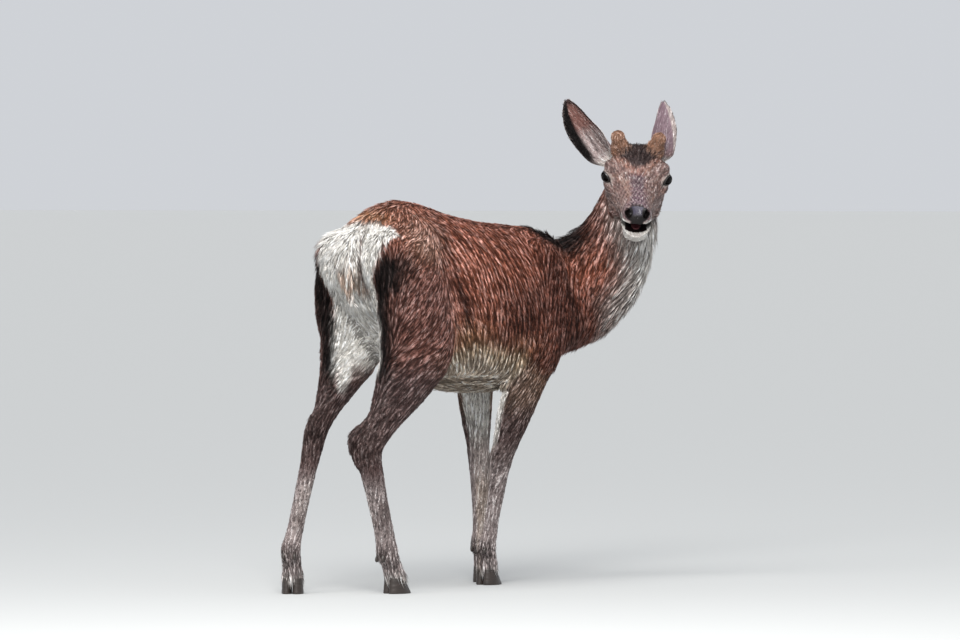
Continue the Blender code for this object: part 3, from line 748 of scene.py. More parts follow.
@dataclass
class Head:
    """The head in its own frame: forward from nape to nose, left, and up, with the eyes' middle at zero."""

    eyes_middle: tuple = (0.4705, -0.181, 1.046)
    yaw: float = -142.0  # degrees
    pitch: float = 27.0
    roll: float = -3.5
    rows: tuple = (  # x, top, bottom, half width, squareness
        (-0.118, 0.030, -0.070, 0.042, 1), (-0.092, 0.056, -0.100, 0.064, 0.95),
        (-0.055, 0.071, -0.116, 0.078, 0.9), (-0.020, 0.070, -0.120, 0.083, 0.9),
        (0.010, 0.059, -0.119, 0.075, 0.9), (0.045, 0.042, -0.116, 0.062, 0.88),
        (0.085, 0.027, -0.110, 0.0485, 0.84), (0.120, 0.018, -0.107, 0.0420, 0.82),
        (0.150, 0.010, -0.107, 0.0400, 0.80), (0.170, 0, -0.103, 0.0385, 0.80),
        (0.180, -0.012, -0.091, 0.0320, 0.84),
    )
    lumps: tuple = (  # centre, radii, on both sides
        ((-0.006, 0.071, 0.025), (0.035, 0.019, 0.017)),  # brow
        ((-0.002, 0.068, -0.022), (0.042, 0.021, 0.019)),  # cheekbone
        ((-0.038, 0.054, -0.062), (0.050, 0.027, 0.048)),  # jaw muscle
        ((-0.010, 0.046, -0.084), (0.058, 0.028, 0.036)),  # cheek
        ((0.168, 0.021, -0.014), (0.017, 0.015, 0.017)),  # wing of the nostril
        ((-0.048, 0.045, 0.062), (0.030, 0.026, 0.026)),  # foot of the knob
        ((0.060, 0.036, -0.020), (0.048, 0.018, 0.020)),  # side of the nose's bridge
        ((0.150, 0.026, -0.040), (0.026, 0.013, 0.010)),  # upper lip
        ((0.150, 0.0165, -0.087), (0.028, 0.017, 0.015)),  # lower lip
    )
    eye_at: tuple = (0.006, 0.0730, 0.003)
    eye_radius: float = 0.0172
    eye_looks: tuple = (0.64, 0.76, 0.10)
    eye_tilt: float = -14.0  # degrees that the inner corner drops below the outer
    slit: tuple = (0.0150, 0.0138, 0.0112, 0.0098)  # opening to the front, back, above and below
    slit_power: float = 1.8  # 2 would make it an oval
    lid_thickness: float = 0.0021
    lid_reach: float = 0.030  # how far out over the face the lids' band runs
    lid_points: int = 96
    fold: tuple = (0.0040, 0.0009, 0.0011, 0.0006)  # distance from the rim, width, depth above and below
    rim_bulge: tuple = (0.0008, 0.0012)  # height and width
    mouth_corner: float = 0.105
    mouth_level: float = -0.047
    nostril: tuple = ((0.1765, 0.0225, -0.0140), (0.0140, 0.0082, 0.0122))  # centre and radii
    nostril_turn: tuple = (34.0, -24.0)  # degrees outwards and downwards
    hollow: tuple = ((0.143, 0, -0.055), (0.038, 0.0205, 0.0140))  # centre and radii of the mouth's room
    gape_half: float = 0.055  # half the width of the cut for the lips
    gape: tuple = (
        (0.096, 0.0012, 0.0012), (0.112, 0.0080, 0.0020), (0.132, 0.0150, 0.0035), (0.156, 0.0220, 0.0055),
        (0.178, 0.0282, 0.0066), (0.200, 0.0330, 0.0072),
    )  # along the muzzle, and how far it opens below and above the level of the lips

    def __post_init__(self) -> None:
        """Works out the head's place and turn in the animal's frame."""
        self.matrix = Matrix.Translation(self.eyes_middle)
        for angle, axis in ((self.yaw, "Z"), (self.pitch, "Y"), (self.roll, "X")):
            self.matrix = self.matrix @ Matrix.Rotation(math.radians(angle), 4, axis)
        self.turn = np.array(self.matrix.to_3x3())
        self.place = np.array(self.eyes_middle)

    def local(self, points: Array) -> Array:
        """Points of the animal's frame in the head's own."""
        return (points - self.place) @ self.turn

    def world(self, points: Array) -> Array:
        """Points of the head's frame in the animal's."""
        return np.asarray(points) @ self.turn.T + self.place

    def rings(self, steps: int = 6) -> Array:
        """The skull's rings, narrower towards the jaw and the crown.

        Args:
            steps: steps between each two rows.

        Returns:
            An array of rings by points by three, in the head's frame.
        """
        x, top, bottom, half, power = smooth_rows(self.rows, steps).T
        middle = bottom + 0.55 * (top - bottom)
        centres = np.stack([x, 0 * x, middle], -1)
        rings = ovals(centres, LEFT, UP, half, top - middle, middle - bottom, power, 72)
        z, m = rings[..., 2], middle[:, None]
        fall = np.clip((m - z) / (m - bottom[:, None]), 0, 1)
        rise = np.clip((z - m) / (top[:, None] - m), 0, 1)
        rings[..., 1] *= 1 - 0.30 * fall**2 - 0.16 * rise**2
        return rings

    def shell(self) -> Shell:
        """The skull's loft and the lumps of the face, overlapping.

        Returns:
            Closed skins that overlap, in the animal's frame.
        """
        made = Shell.of_rings(self.rings(), 0.35)
        for centre, radii in self.lumps:
            made = made.plus(*(Shell.ball(place, radii) for place in both_sides(centre)))
        return made.moved(self.matrix)

    def gape_at(self, x: Array, y: Array) -> tuple[Array, Array]:
        """How far the lips are open, the lower one rounded off by 1 - 0.85 |y / 0.044|^2.2.

        Args:
            x: places along the muzzle.
            y: places across it.

        Returns:
            The opening below and above the level of the lips.
        """
        along, low, high = np.array(self.gape).T
        round_off = 1 - 0.85 * np.clip(np.abs(y) / 0.044, 0, 1) ** 2.2
        return np.interp(x, along, low) * round_off, np.interp(x, along, high) + 0 * y

    def cutters(self) -> tuple:
        """What is taken from the head: the gape of the lips, the hollow behind it and the nostrils.

        Returns:
            Closed skins in the animal's frame.
        """
        rows = []
        across = np.linspace(-self.gape_half, self.gape_half, 23)
        for along, _, _ in self.gape:
            x = np.full_like(across, along)
            low, high = self.gape_at(x, across)
            floor, roof = (np.stack([x, across, self.mouth_level + z], 1) for z in (-low, high))
            rows.append(np.vstack([floor, roof[::-1]]))
        made = [Shell.of_rings(np.array(rows, float), 0.01), Shell.ball(*self.hollow)]
        outwards, downwards = np.radians(self.nostril_turn)
        for side, place in zip((1, -1), both_sides(self.nostril[0])):
            turn = Matrix.Rotation(outwards * side, 3, "Z") @ Matrix.Rotation(downwards * side, 3, "X")
            made.append(Shell.ball(place, self.nostril[1], np.array(turn), 20))
        return tuple(part.moved(self.matrix) for part in made)

    def eye_frame(self, side: int) -> tuple[Array, Array, Array, Array]:
        """Where one eye is and how its opening lies.

        Args:
            side: 1 for the left eye, -1 for the right.

        Returns:
            In the head's frame, its centre, its axis, its long direction to the front and its short one up.
        """
        flip = np.array((1, side, 1))
        axis = unit(np.array(self.eye_looks) * flip)
        long = np.array((1.0, 0.0, math.tan(math.radians(self.eye_tilt))))
        long = unit(long - axis * (axis @ long))
        short = np.cross(axis, long)
        short *= 1 if short[2] > 0 else -1
        return np.array(self.eye_at) * flip, axis, long, short

    def slit_measure(self, a: Array, b: Array) -> Array:
        """1 on the rim of the eye's opening, less within: |a/A|^n + |b/B|^n, with its own A and B each way.

        Args:
            a: lengths along the opening, to the front.
            b: lengths across it, upwards.

        Returns:
            The measure at each of them.
        """
        front, back, above, below = self.slit
        long, short = np.where(a > 0, front, back), np.where(b > 0, above, below)
        return (np.abs(a) / long) ** self.slit_power + (np.abs(b) / short) ** self.slit_power

    def eye_measure(self, local: Array) -> Array:
        """How far out of the nearer eye's opening points lie: 1 on its rim, 2 at twice its size.

        Args:
            local: points of the head's frame.

        Returns:
            The measure at each of them, 99 where no eye is near.
        """
        found = np.full(len(local), 99.0)
        for side in (1, -1):
            centre, axis, long, short = self.eye_frame(side)
            rel = local - centre
            value = self.slit_measure(rel @ long, rel @ short) ** (1 / self.slit_power)
            near = (rel @ axis > 0) & (np.linalg.norm(rel, axis=1) < 0.05)
            found = np.where(near, np.minimum(found, value), found)
        return found

    def lids(self, skin: BVHTree, side: int) -> Shell:
        """The lids of one eye: a band that rolls over the rim and runs out over the face.

        From the rim outwards it goes from the ball's height to the face's, log(e^ball + e^face), less a
        fold and more a roll, both bell curves of the distance from the rim.

        Args:
            skin: the head's skin, in the head's frame.
            side: 1 for the left eye, -1 for the right.

        Returns:
            A closed band, in the animal's frame.
        """
        centre, axis, long, short = self.eye_frame(side)
        count = self.lid_points
        turns = np.linspace(0, 2 * math.pi, count, endpoint=False)
        c, s = np.cos(turns), np.sin(turns)
        rim = self.slit_measure(c, s) ** (-1 / self.slit_power)
        outer = self.lid_reach + 0.004 * c
        fold_at, fold_width, fold_above, fold_below = self.fold
        shares = np.concatenate([[-0.10, -0.05], np.linspace(0, 1, 15) ** 1.35])
        radius, sharp = self.eye_radius, 260.0
        rows = []
        for share in shares:
            reach = rim + max(share, 0) * (outer - rim) + min(share, 0) * 0.008
            flat = centre + (reach * c)[:, None] * long + (reach * s)[:, None] * short
            if share < 0:
                height = np.sqrt(radius**2 - reach**2) + (0.0013 if share > -0.07 else -0.0012)
                rows.append(flat + height[:, None] * axis)
                continue
            over = (radius + self.lid_thickness) ** 2 - np.minimum(reach, radius) ** 2
            ball = np.sqrt(np.maximum(over, 1e-9)) - np.maximum(reach - radius, 0) * 1.6
            face = []
            for point, fallback in zip(flat, ball):
                hit = skin.ray_cast(Vector(point + axis * 0.04), Vector(-axis))[0]
                face.append(fallback - 0.004 if hit is None else (np.array(hit) - centre) @ axis)
            face = np.array(face) - 0.0014 * share**3
            height = np.logaddexp(ball * sharp, face * sharp) / sharp
            height -= 0.0014 * (1 - share) * ease(share, 0.0, 0.5)
            gap = reach - rim
            fold = bell(gap - fold_at, fold_width) * np.where(s > 0, fold_above, fold_below)
            height += (self.rim_bulge[0] * bell(gap, self.rim_bulge[1]) - fold) * (1 - share)
            height += (face - height) * ease(share, 0.55, 1.0)
            rows.append(flat + height[:, None] * axis)
        band = np.array(rows)
        under = band[::-1] - axis * 0.0016
        index, side_faces = girdle(2 * len(rows), count)
        last, first = index[-1], index[0]
        close = np.stack([last, np.roll(last, -1), np.roll(first, -1), first], -1)
        made = Shell(np.vstack([band, under]).reshape(-1, 3), np.vstack([side_faces, close]).tolist())
        p = made.points[np.array(made.faces)]
        outward = np.cross(p[:, 1] - p[:, 0], p[:, 2] - p[:, 0])[: count * (len(shares) - 1)] @ axis
        if outward.mean() < 0:
            made.faces = [face[::-1] for face in made.faces]
        return made.moved(self.matrix)

    def line(self) -> Line:
        """The centreline, from nose to nape.

        Returns:
            The line.
        """
        x, top, bottom, half, _ = smooth_rows(self.rows, 6)[::-1].T
        points = self.world(np.stack([x, 0 * x, (top + bottom) / 2], -1))
        size = (half + (top - bottom) / 2) / 2
        return Line(Part.HEAD, points, size, np.tile(-self.turn[:, 2], (len(x), 1)))


HEAD = Head()


@dataclass
class Ear:
    """A leaf-shaped cup: nearly a tube at its root, open along its length, pointed at its tip."""

    part: Part
    root: tuple
    bend: tuple
    tip: tuple
    facing: tuple
    half_width: float
    thickness: float = 0.0030
    columns: int = 26
    form: tuple = (  # place, width share, half opening in degrees, bow backwards
        (0, 0.40, 128, 0), (0.14, 0.60, 112, 0.01), (0.28, 0.86, 88, 0.02), (0.45, 1.0, 72, 0.03),
        (0.62, 0.98, 62, 0.03), (0.78, 0.82, 54, 0.02), (0.90, 0.57, 46, 0.01), (1, 0.20, 40, 0),
    )

    def frames(self) -> tuple[Array, ...]:
        """Place, centre, direction along, direction it faces, radius and half opening of each row.

        Returns:
            The six arrays.
        """
        root, bend, tip = (HEAD.world(np.array(p)) for p in (self.root, self.bend, self.tip))
        facing = HEAD.turn @ np.array(self.facing)
        length = np.linalg.norm(tip - root)
        s, width, opening, bow = smooth_rows(self.form, 5).T
        s3 = s[:, None]
        centre = root * (1 - s3) ** 2 + bend * 2 * s3 * (1 - s3) + tip * s3**2
        along = unit((bend - root) * (1 - s3) + (tip - bend) * s3)
        front = squared(facing, along)
        half_angle = np.radians(opening)
        radius = self.half_width * width / np.where(opening < 90, np.sin(half_angle), 1)
        return s, centre - front * (bow * length)[:, None], along, front, radius, half_angle

    def shell(self) -> Shell:
        """The closed leaf, the outer face first and the inner after it in each row.

        Returns:
            The closed skin.
        """
        s, centre, along, front, radius, half_angle = self.frames()
        side = np.cross(along, front)
        turn = np.linspace(-1, 1, self.columns)[None] * half_angle[:, None]
        edge = np.cos(turn / half_angle[:, None] * math.pi / 2)
        thick = self.thickness * (0.35 + 0.65 * edge) * (1 - 0.4 * s[:, None])
        set_back = (radius * np.sin(half_angle) / half_angle)[:, None]
        wave = 1 + 0.035 * np.sin(s[:, None] * 13 + turn) * (1 - edge)
        sheets = []
        for depth in (0.0006, thick):
            r = (radius[:, None] - depth) * wave
            sheet = centre[:, None] + (r * np.sin(turn))[..., None] * side[:, None]
            sheets.append(sheet - (r * np.cos(turn) - set_back)[..., None] * front[:, None])
        rings = np.concatenate([sheets[0], sheets[1][:, ::-1]], 1)
        index, side_faces = girdle(*rings.shape[:2])
        faces = side_faces.tolist()
        for row in (index[0], index[-1]):
            faces += [[row[i], row[i + 1], row[-2 - i], row[-1 - i]] for i in range(len(row) // 2 - 1)]
        made = Shell(rings.reshape(-1, 3), faces)
        thing = bmesh.new()
        verts = [thing.verts.new(p) for p in made.points]
        for face in faces:
            thing.faces.new([verts[i] for i in face])
        bmesh.ops.recalc_face_normals(thing, faces=thing.faces)
        flip = -1 if thing.calc_volume(signed=True) < 0 else 1
        thing.verts.index_update()
        made.faces = [[v.index for v in f.verts][::flip] for f in thing.faces]
        thing.free()
        return made

    def line(self) -> Line:
        """The centreline, from root to tip."""
        _, centre, _, front, radius, _ = self.frames()
        return Line(self.part, centre, radius, front)


EARS = (
    Ear(
        Part.EAR_RIGHT, (-0.076, -0.052, 0.006), (-0.080, -0.128, 0.052), (-0.086, -0.190, 0.170),
        (0.86, -0.30, -0.12), 0.0475,
    ),
    Ear(
        Part.EAR_LEFT, (-0.076, 0.050, 0.006), (-0.088, 0.070, 0.062), (-0.150, 0.061, 0.148),
        (-0.80, 0.58, 0), 0.0395,
    ),
)


@dataclass
class Knob:
    """A short rounded stump of first antler in its velvet."""

    side: int
    foot: tuple = (-0.050, 0.047, 0.066)
    tip: tuple = (-0.047, 0.056, 0.099)
    radius: float = 0.0180

    def shell(self) -> Shell:
        """The loft, a little uneven as grown antler is.

        Returns:
            The closed skin.
        """
        foot, tip = (np.array(p) * (1, self.side, 1) for p in (self.foot, self.tip))
        share = np.linspace(-0.45, 0.82, 12)
        size = self.radius * (1.42 - 0.46 * ease(share, -0.5, 0.75) + 0.03 * np.sin(share * 11))
        along = unit(tip - foot)
        side = unit(np.cross(along, (1.0, 0, 0)))
        centres = foot + share[:, None] * (tip - foot)
        rings = ovals(centres, side, np.cross(side, along), size, size * 1.05, size * 1.05, 1.0, 28)
        return Shell.of_rings(rings, 0.75).moved(HEAD.matrix)


# ---------------------------------------------------------------- the lie of the coat and its markings


class Lie:
    """Which part each point belongs to, which way its hair runs, and where it falls on the unwrap."""

    def __init__(self, lines: list[Line]) -> None:
        """Keeps the centreline of each part.

        Args:
            lines: the centrelines.
        """
        self.lines = lines
        self.parts = [line.part for line in lines]
        self.last = (None, None)  # the points measured last, and what was found

    def measure(self, points: Array) -> tuple[Array, Array, Array, Array]:
        """Finds each point's nearest place on every centreline, distances taken as shares of its radius.

        A part's weight is e^(-7 d), d being how much further off it is than the nearest part.

        Args:
            points: points in the animal's frame.

        Returns:
            Weights by part, directions along and to the front, and places from 0 to 1.
        """
        if points is self.last[0]:
            return self.last[1]
        near, along, front, place = [], [], [], []
        for line in self.lines:
            best, choice = np.full(len(points), 9e9), np.zeros(len(points), int)
            for i, (centre, size) in enumerate(zip(line.points, line.size)):
                away = np.linalg.norm(points - centre, axis=1) / max(size, 0.004)
                choice = np.where(away < best, i, choice)
                best = np.minimum(away, best)
            t = tangents(line.points)
            step = dots(points - line.points[choice], t[choice])
            run = np.concatenate([[0], np.cumsum(np.linalg.norm(np.diff(line.points, axis=0), axis=1))])
            near.append(best)
            along.append(t[choice])
            front.append(line.front[choice])
            place.append(np.clip((run[choice] + step) / run[-1], 0, 1))
        near = np.stack(near, 1)
        weight = np.exp(-7.0 * (near - near.min(1, keepdims=True)))
        weight /= weight.sum(1, keepdims=True)
        self.last = (points, (weight, np.stack(along, 1), np.stack(front, 1), np.stack(place, 1)))
        return self.last[1]

    def flow(self, points: Array, normals: Array) -> Array:
        """Which way the hair runs, along the skin.

        Args:
            points: points of the skin.
            normals: its outward normals.

        Returns:
            Unit directions square to the normals.
        """
        weight, along, front, place = self.measure(points)
        total = np.zeros_like(points)
        for k, part in enumerate(self.parts):
            t, ahead = along[:, k], front[:, k]
            if part is Part.TRUNK:
                run = self.flow_of_trunk(points, normals)
            elif part is Part.NECK:
                run = -t + 0.18 * ahead
            elif part is Part.HEAD:
                local = HEAD.local(points)
                _, left, up = HEAD.turn.T
                run = t - 0.35 * ease(local[:, 2:3], 0.02, -0.08) * up + 0.25 * left * np.sign(local[:, 1:2])
            elif part in (Part.HIND_LEFT, Part.HIND_RIGHT):
                run = t - ahead * (0.15 + 1.25 * ease(place[:, k : k + 1], 0.46, 0.20))
            elif part in (Part.FORE_LEFT, Part.FORE_RIGHT):
                run = t - ahead * 0.15
            else:
                run = t
            total += weight[:, k : k + 1] * run
        total = total + 0.13 * np.stack([ripple(points, 21.0, seed) for seed in (1, 2, 3)], 1)
        return squared(total, normals)

    @staticmethod
    def flow_of_trunk(points: Array, normals: Array) -> Array:
        """Along the back to the rump, down over flank and buttock, and forwards under the belly.

        Args:
            points: points of the skin.
            normals: its outward normals.

        Returns:
            The directions, of any length.
        """
        x, z = points[:, :1], points[:, 2:3]
        flat = ease(np.abs(normals[:, 1:2]), 0.25, 0.75) * ease(z, 0.53, 0.58)
        behind = ease(x, -0.36, -0.46)
        steep = 1.3 * flat * (1 - behind) + 1.5 * behind + 1.2 * ease(-normals[:, :1], 0.3, 0.8)
        ahead = 0.25 + 0.45 * bell(x + 0.20, 0.07) + 0.15 * ripple(points, 9.0, 4)[:, None]
        run = np.array((1.0, 0, 0)) * (flat * (1 + ahead) - 1) * (1 - 0.6 * behind) - UP * steep
        return run + LEFT * np.sign(points[:, 1])[:, None] * 0.35 * behind

    def unwrap(self, points: Array, part: Part) -> tuple[Array, Array]:
        """Lays one part out flat round its centreline.

        Args:
            points: points of the part.
            part: the part.

        Returns:
            The turn round it and the place along it, both from 0 to 1.
        """
        k = self.parts.index(part)
        _, along, front, place = Lie([self.lines[k]]).measure(points)
        line = self.lines[k]
        index = np.clip((place[:, 0] * (len(line.points) - 1)).astype(int), 0, len(line.points) - 1)
        rel = points - line.points[index]
        face = squared(front[:, 0], along[:, 0])
        turn = np.arctan2(dots(rel, np.cross(along[:, 0], face)), dots(rel, face))
        return turn / (2 * math.pi) + 0.5, place[:, 0]


def ripple(points: Array, scale: float, seed: int) -> Array:
    """A cheap smooth noise: the mean of sines along seeded directions.

    Args:
        points: where.
        scale: waves per metre, over 2 pi.
        seed: which noise.

    Returns:
        Values of about -1 to 1.
    """
    rng = np.random.default_rng(seed)
    total = np.zeros(len(points))
    for _ in range(6):
        direction = rng.normal(size=3)
        direction *= scale * rng.uniform(0.6, 1.7) / np.linalg.norm(direction)
        total += np.sin(points @ direction + rng.uniform(0, 6.28) + 0.8 * np.sin(points[:, ::-1] @ direction))
    return total / 3.0


STREAK_SEED, STREAK_WAVES = 77, 44
STREAK_REACH = 11.0  # half the length of a streak, times the waves per metre over 2 pi


def streaks(points: Array, flow: Array, across: Array, scale: float) -> tuple[Array, Array]:
    """A noise drawn out along the lie of the coat, as wet hair gathers into ridges.

    Each wave sin(k.p + a) is averaged over a length on either side along the flow, which weighs it by
    sin(x) / x of x = (k.flow) * reach, so that only waves across the flow remain.

    Args:
        points: where.
        flow: which way the hair runs there.
        across: the unit direction square to it along the skin.
        scale: waves per metre, over 2 pi.

    Returns:
        Values of unit spread, and their slope across the flow per wave.
    """
    rng, reach = np.random.default_rng(STREAK_SEED), STREAK_REACH / scale
    value, slope, power = np.zeros(len(points)), np.zeros(len(points)), np.full(len(points), 0.05)
    for _ in range(STREAK_WAVES):
        k = rng.normal(size=3)
        k *= scale * rng.uniform(0.55, 1.3) / np.linalg.norm(k)
        weight = np.sinc((flow @ k) * reach / math.pi)
        phase = points @ k + rng.uniform(0, 2 * math.pi)
        value += weight * np.sin(phase)
        slope += weight * np.cos(phase) * (across @ k) / scale
        power += weight**2 / 2
    return value / np.sqrt(power), slope / np.sqrt(power)


def from_path(points: Array, path: Table) -> Array:
    """Distance from a bent line.

    Args:
        points: where from.
        path: the line's points.

    Returns:
        The shortest distance of each point to it.
    """
    path = np.array(path, float)
    best = np.full(len(points), 9e9)
    for a, b in zip(path, path[1:]):
        t = np.clip((points - a) @ (b - a) / ((b - a) @ (b - a)), 0, 1)
        best = np.minimum(best, np.linalg.norm(points - a - t[:, None] * (b - a), axis=1))
    return best


def shade(red: int, green: int, blue: int) -> Array:
    """A colour given in display values of 0 to 255, as linear light."""
    c = np.array((red, green, blue)) / 255.0
    return np.where(c <= 0.04045, c / 12.92, ((c + 0.055) / 1.055) ** 2.4)


@dataclass
class Canvas:
    """Points of the skin, what is known of them and the colours laid on them so far."""

    points: Array
    normals: Array
    weight: dict  # how much each point belongs to a part
    place: dict  # how far along that part it lies
    front: dict  # which way that part's front is
    colour: Array
    only: Array | float = 1.0  # where colours may be laid

    def __post_init__(self) -> None:
        """Adds the two noises that make borders uneven."""
        self.fine, self.broad = ripple(self.points, 60.0, 11), ripple(self.points, 16.0, 12)

    def lay(self, tint: Array, mask: Array | float) -> None:
        """Lays a colour over what is there, as far as the mask says."""
        self.colour = self.colour + (tint - self.colour) * np.clip(self.only * mask, 0, 1)[:, None]


class Markings:
    """The colours of the coat, laid over skin and tufts alike."""

    RED = shade(164, 94, 70)
    DARK_RED = shade(84, 42, 30)
    TAN = shade(172, 122, 86)
    THIGH = shade(124, 80, 70)
    GREY = shade(158, 144, 142)
    LEG_DARK = shade(84, 65, 62)
    PALE = shade(250, 245, 238)
    BELLY = shade(176, 150, 122)
    BLACK = shade(17, 12, 12)
    THROAT = shade(184, 172, 166)
    FACE = shade(156, 124, 118)
    BRIDGE = shade(110, 84, 100)
    CROWN = shade(44, 31, 32)
    # the nose leather's own dark grey, lightened and blued by a painted reflection on its top
    NOSE = shade(62, 58, 72)
    BROW = shade(172, 120, 100)
    SHANK = shade(98, 74, 72)
    KNOB = shade(152, 112, 90)
    INNER_EAR = shade(216, 196, 194)
    EAR_RED = shade(150, 96, 84)
    EAR_BACK = shade(126, 104, 113)

    def __init__(self, lie: Lie) -> None:
        """Keeps the lie of the coat, which knows the parts."""
        self.lie = lie

    def paint(self, points: Array, normals: Array) -> Array:
        """The coat's colour at points of the skin.

        Args:
            points: points in the animal's frame.
            normals: outward normals.

        Returns:
            Linear colours, one row for each point.
        """
        weight, _, front, place = self.lie.measure(points)
        tables, parts = (weight, place, front), self.lie.parts
        by_part = ({part: table[:, i] for i, part in enumerate(parts)} for table in tables)
        at = Canvas(points, normals, *by_part, np.tile(self.RED, (len(points), 1)))
        at.lay(self.DARK_RED, 0.30 * ease(at.broad + 0.5 * at.fine, 0.0, 1.1))
        self.trunk(at)
        self.neck(at)
        for leg in LEGS:
            at.only = ease(at.weight[leg.part], 0.25, 0.7)
            self.leg(at, leg)
        at.only = 1.0
        self.rump(at)
        at.only = ease(at.weight[Part.HEAD], 0.25, 0.75)
        self.head(at)
        return np.clip(at.colour, 0.002, 0.95)

    def trunk(self, at: Canvas) -> None:
        """Back, flank and belly, over the whole canvas.

        Args:
            at: the canvas.
        """
        lay, y = at.lay, at.points[:, 1]
        x = at.points[:, 0] + 0.010 * at.broad
        z = at.points[:, 2] + 0.010 * at.broad + 0.006 * at.fine
        wide = np.abs(y)
        lay(self.DARK_RED, 0.70 * ease(wide, 0.060, 0.0) * ease(z, 0.86, 0.93) * ease(x, -0.44, -0.36))
        lay(self.THIGH, 0.80 * ease(x, -0.20, -0.29) * ease(z, 0.95, 0.84))
        # a dark red line with a black core down flank and hip: painted shade in the fold of the coat
        fold = from_path(np.stack([x, wide, z], -1), (
            (-0.210, 0.050, 0.975), (-0.235, 0.115, 0.916), (-0.225, 0.140, 0.810), (-0.187, 0.140, 0.710),
            (-0.165, 0.130, 0.640),
        ))
        lay(self.DARK_RED, 0.80 * ease(fold, 0.030, 0.004))
        lay(self.BLACK, 0.70 * ease(fold, 0.014, 0.003))
        lay(self.DARK_RED, 0.75 * ease(z, 0.84, 0.72) * ease(x, -0.16, 0.00))
        # lighter tan and grey over the hip: a painted highlight on the wet coat
        lay(self.TAN, 0.45 * bell(x + 0.32, 0.07) * bell(z - 0.90, 0.06))
        lay(self.GREY, 0.28 * bell(x + 0.31, 0.06) * bell(z - 0.91, 0.05))
        lay(self.DARK_RED, 0.90 * bell(x - 0.220, 0.070) * ease(z, 0.60, 0.70) * ease(z, 0.94, 0.86))
        lay(self.TAN, 0.80 * bell(x + 0.165, 0.075) * bell(z - 0.650, 0.042) * ease(wide, 0.09, 0.12))
        lay(self.TAN, 0.45 * ease(z, 0.665, 0.60) * ease(x, -0.28, -0.2) * ease(x, 0.2, 0.0))
        edge = 0.612 + 0.035 * bell(x + 0.12, 0.09) - 0.055 * ease(x, 0.02, 0.16)
        lay(self.BELLY, ease(z, edge + 0.012, edge - 0.035) * ease(x, 0.24, 0.10) * ease(x, -0.40, -0.28))
        lay(self.PALE, 0.22 * ease(z, edge - 0.025, edge - 0.070) * ease(x, 0.16, 0.04))
        lay(self.THIGH, 0.6 * ease(z, 0.70, 0.60) * ease(x, 0.20, 0.28))

    def neck(self, at: Canvas) -> None:
        """Red-brown sides that pale to a grey throat, and a dark mane.

        Args:
            at: the canvas, left open everywhere.
        """
        lay, s, broad = at.lay, at.place[Part.NECK], at.broad
        at.only = ease(at.weight[Part.NECK], 0.35, 0.8)
        facing = dots(at.normals, unit(at.front[Part.NECK]))
        lay(self.DARK_RED, 0.55 * ease(facing, 0.2, -0.3))
        lay(self.FACE, 0.55 * ease(s, 0.45, 0.80) * ease(facing, -0.7, 0.2))
        lay(self.THROAT, ease(facing + 0.15 * broad, -0.05, 0.65) * ease(s, 0.22, 0.5))
        lay(self.PALE, 0.70 * ease(facing + 0.1 * broad, 0.60, 0.95) * ease(s, 0.42, 0.70))
        at.only = 1.0
        lay(self.BLACK, 0.94 * ease(from_path(at.points, MANE) + 0.014 * broad, 0.112, 0.048))
        # a black line down each side where the neck meets the shoulder: painted shade in the crease
        for side in (1, -1):
            edge = ((0.300, side * 0.070, 0.90), (0.280, side * 0.105, 0.80), (0.290, side * 0.105, 0.64))
            lay(self.BLACK, 0.60 * ease(from_path(at.points, edge) + 0.008 * broad, 0.044, 0.008))

    def leg(self, at: Canvas, leg: Leg) -> None:
        """Grey-brown bones, dark behind and at the hock, pale within.

        Args:
            at: the canvas, open only on this leg.
            leg: the leg.
        """
        lay, broad, z = at.lay, at.broad, at.points[:, 2]
        inward = -at.normals[:, 1] * leg.side
        behind = -dots(at.normals, leg.ahead(np.full(len(z), 3.0)))
        if leg.hind:
            lay(self.THIGH, 0.90 * ease(z, 0.86, 0.74))
            lay(self.SHANK, ease(z + 0.025 * broad, 0.60, 0.50))
            lay(self.GREY, ease(z + 0.02 * broad, 0.33, 0.25))
            lay(self.PALE, 0.90 * ease(inward, 0.20, 0.70) * ease(z + 0.02 * broad, 0.56, 0.64))
            back = ease(behind - 0.3 * inward, -0.1, 0.6)
            lay(self.LEG_DARK, 0.80 * back * ease(z, 0.56, 0.46) * ease(z, 0.28, 0.36))
            lay(self.LEG_DARK, 0.30 * ease(z, 0.56, 0.50) * ease(z, 0.31, 0.37))
            from_hock = np.linalg.norm(at.points - np.array(leg.joints[2]), axis=1)
            lay(self.LEG_DARK, 0.75 * bell(from_hock, 0.055))
            lay(self.THROAT, 0.35 * ease(inward, -0.2, 0.6) * ease(z, 0.31, 0.26) * ease(z, 0.12, 0.2))
        else:
            lay(self.DARK_RED, 0.75 * ease(z, 0.70, 0.56) * ease(inward, 0.3, -0.2))
            lay(self.SHANK, ease(z + 0.025 * broad, 0.50, 0.40))
            lay(self.GREY, ease(z + 0.02 * broad, 0.40, 0.29))
            stripe = ease(0.7 * inward + 0.7 * behind, 0.45, 0.80)
            lay(self.PALE, 0.95 * stripe * ease(z, 0.33, 0.42) * ease(z, 0.62, 0.54))
            lay(self.THROAT, 0.55 * ease(inward, -0.2, 0.5) * ease(z, 0.44, 0.36))
            lay(self.LEG_DARK, 0.65 * ease(inward, 0.2, -0.6) * ease(z, 0.50, 0.42) * ease(z, 0.26, 0.34))
            lay(self.BELLY, 0.30 * ease(inward, -0.1, 0.6) * ease(z, 0.30, 0.24))
        lay(self.LEG_DARK, 0.35 * bell(z - 0.095, 0.035) * ease(behind, -0.3, 0.4))
        lay(self.LEG_DARK, 0.45 * ease(at.fine, 0.1, 0.9) * ease(z, 0.46, 0.40))
        lay(self.PALE, 0.40 * ease(z, 0.062, 0.046))

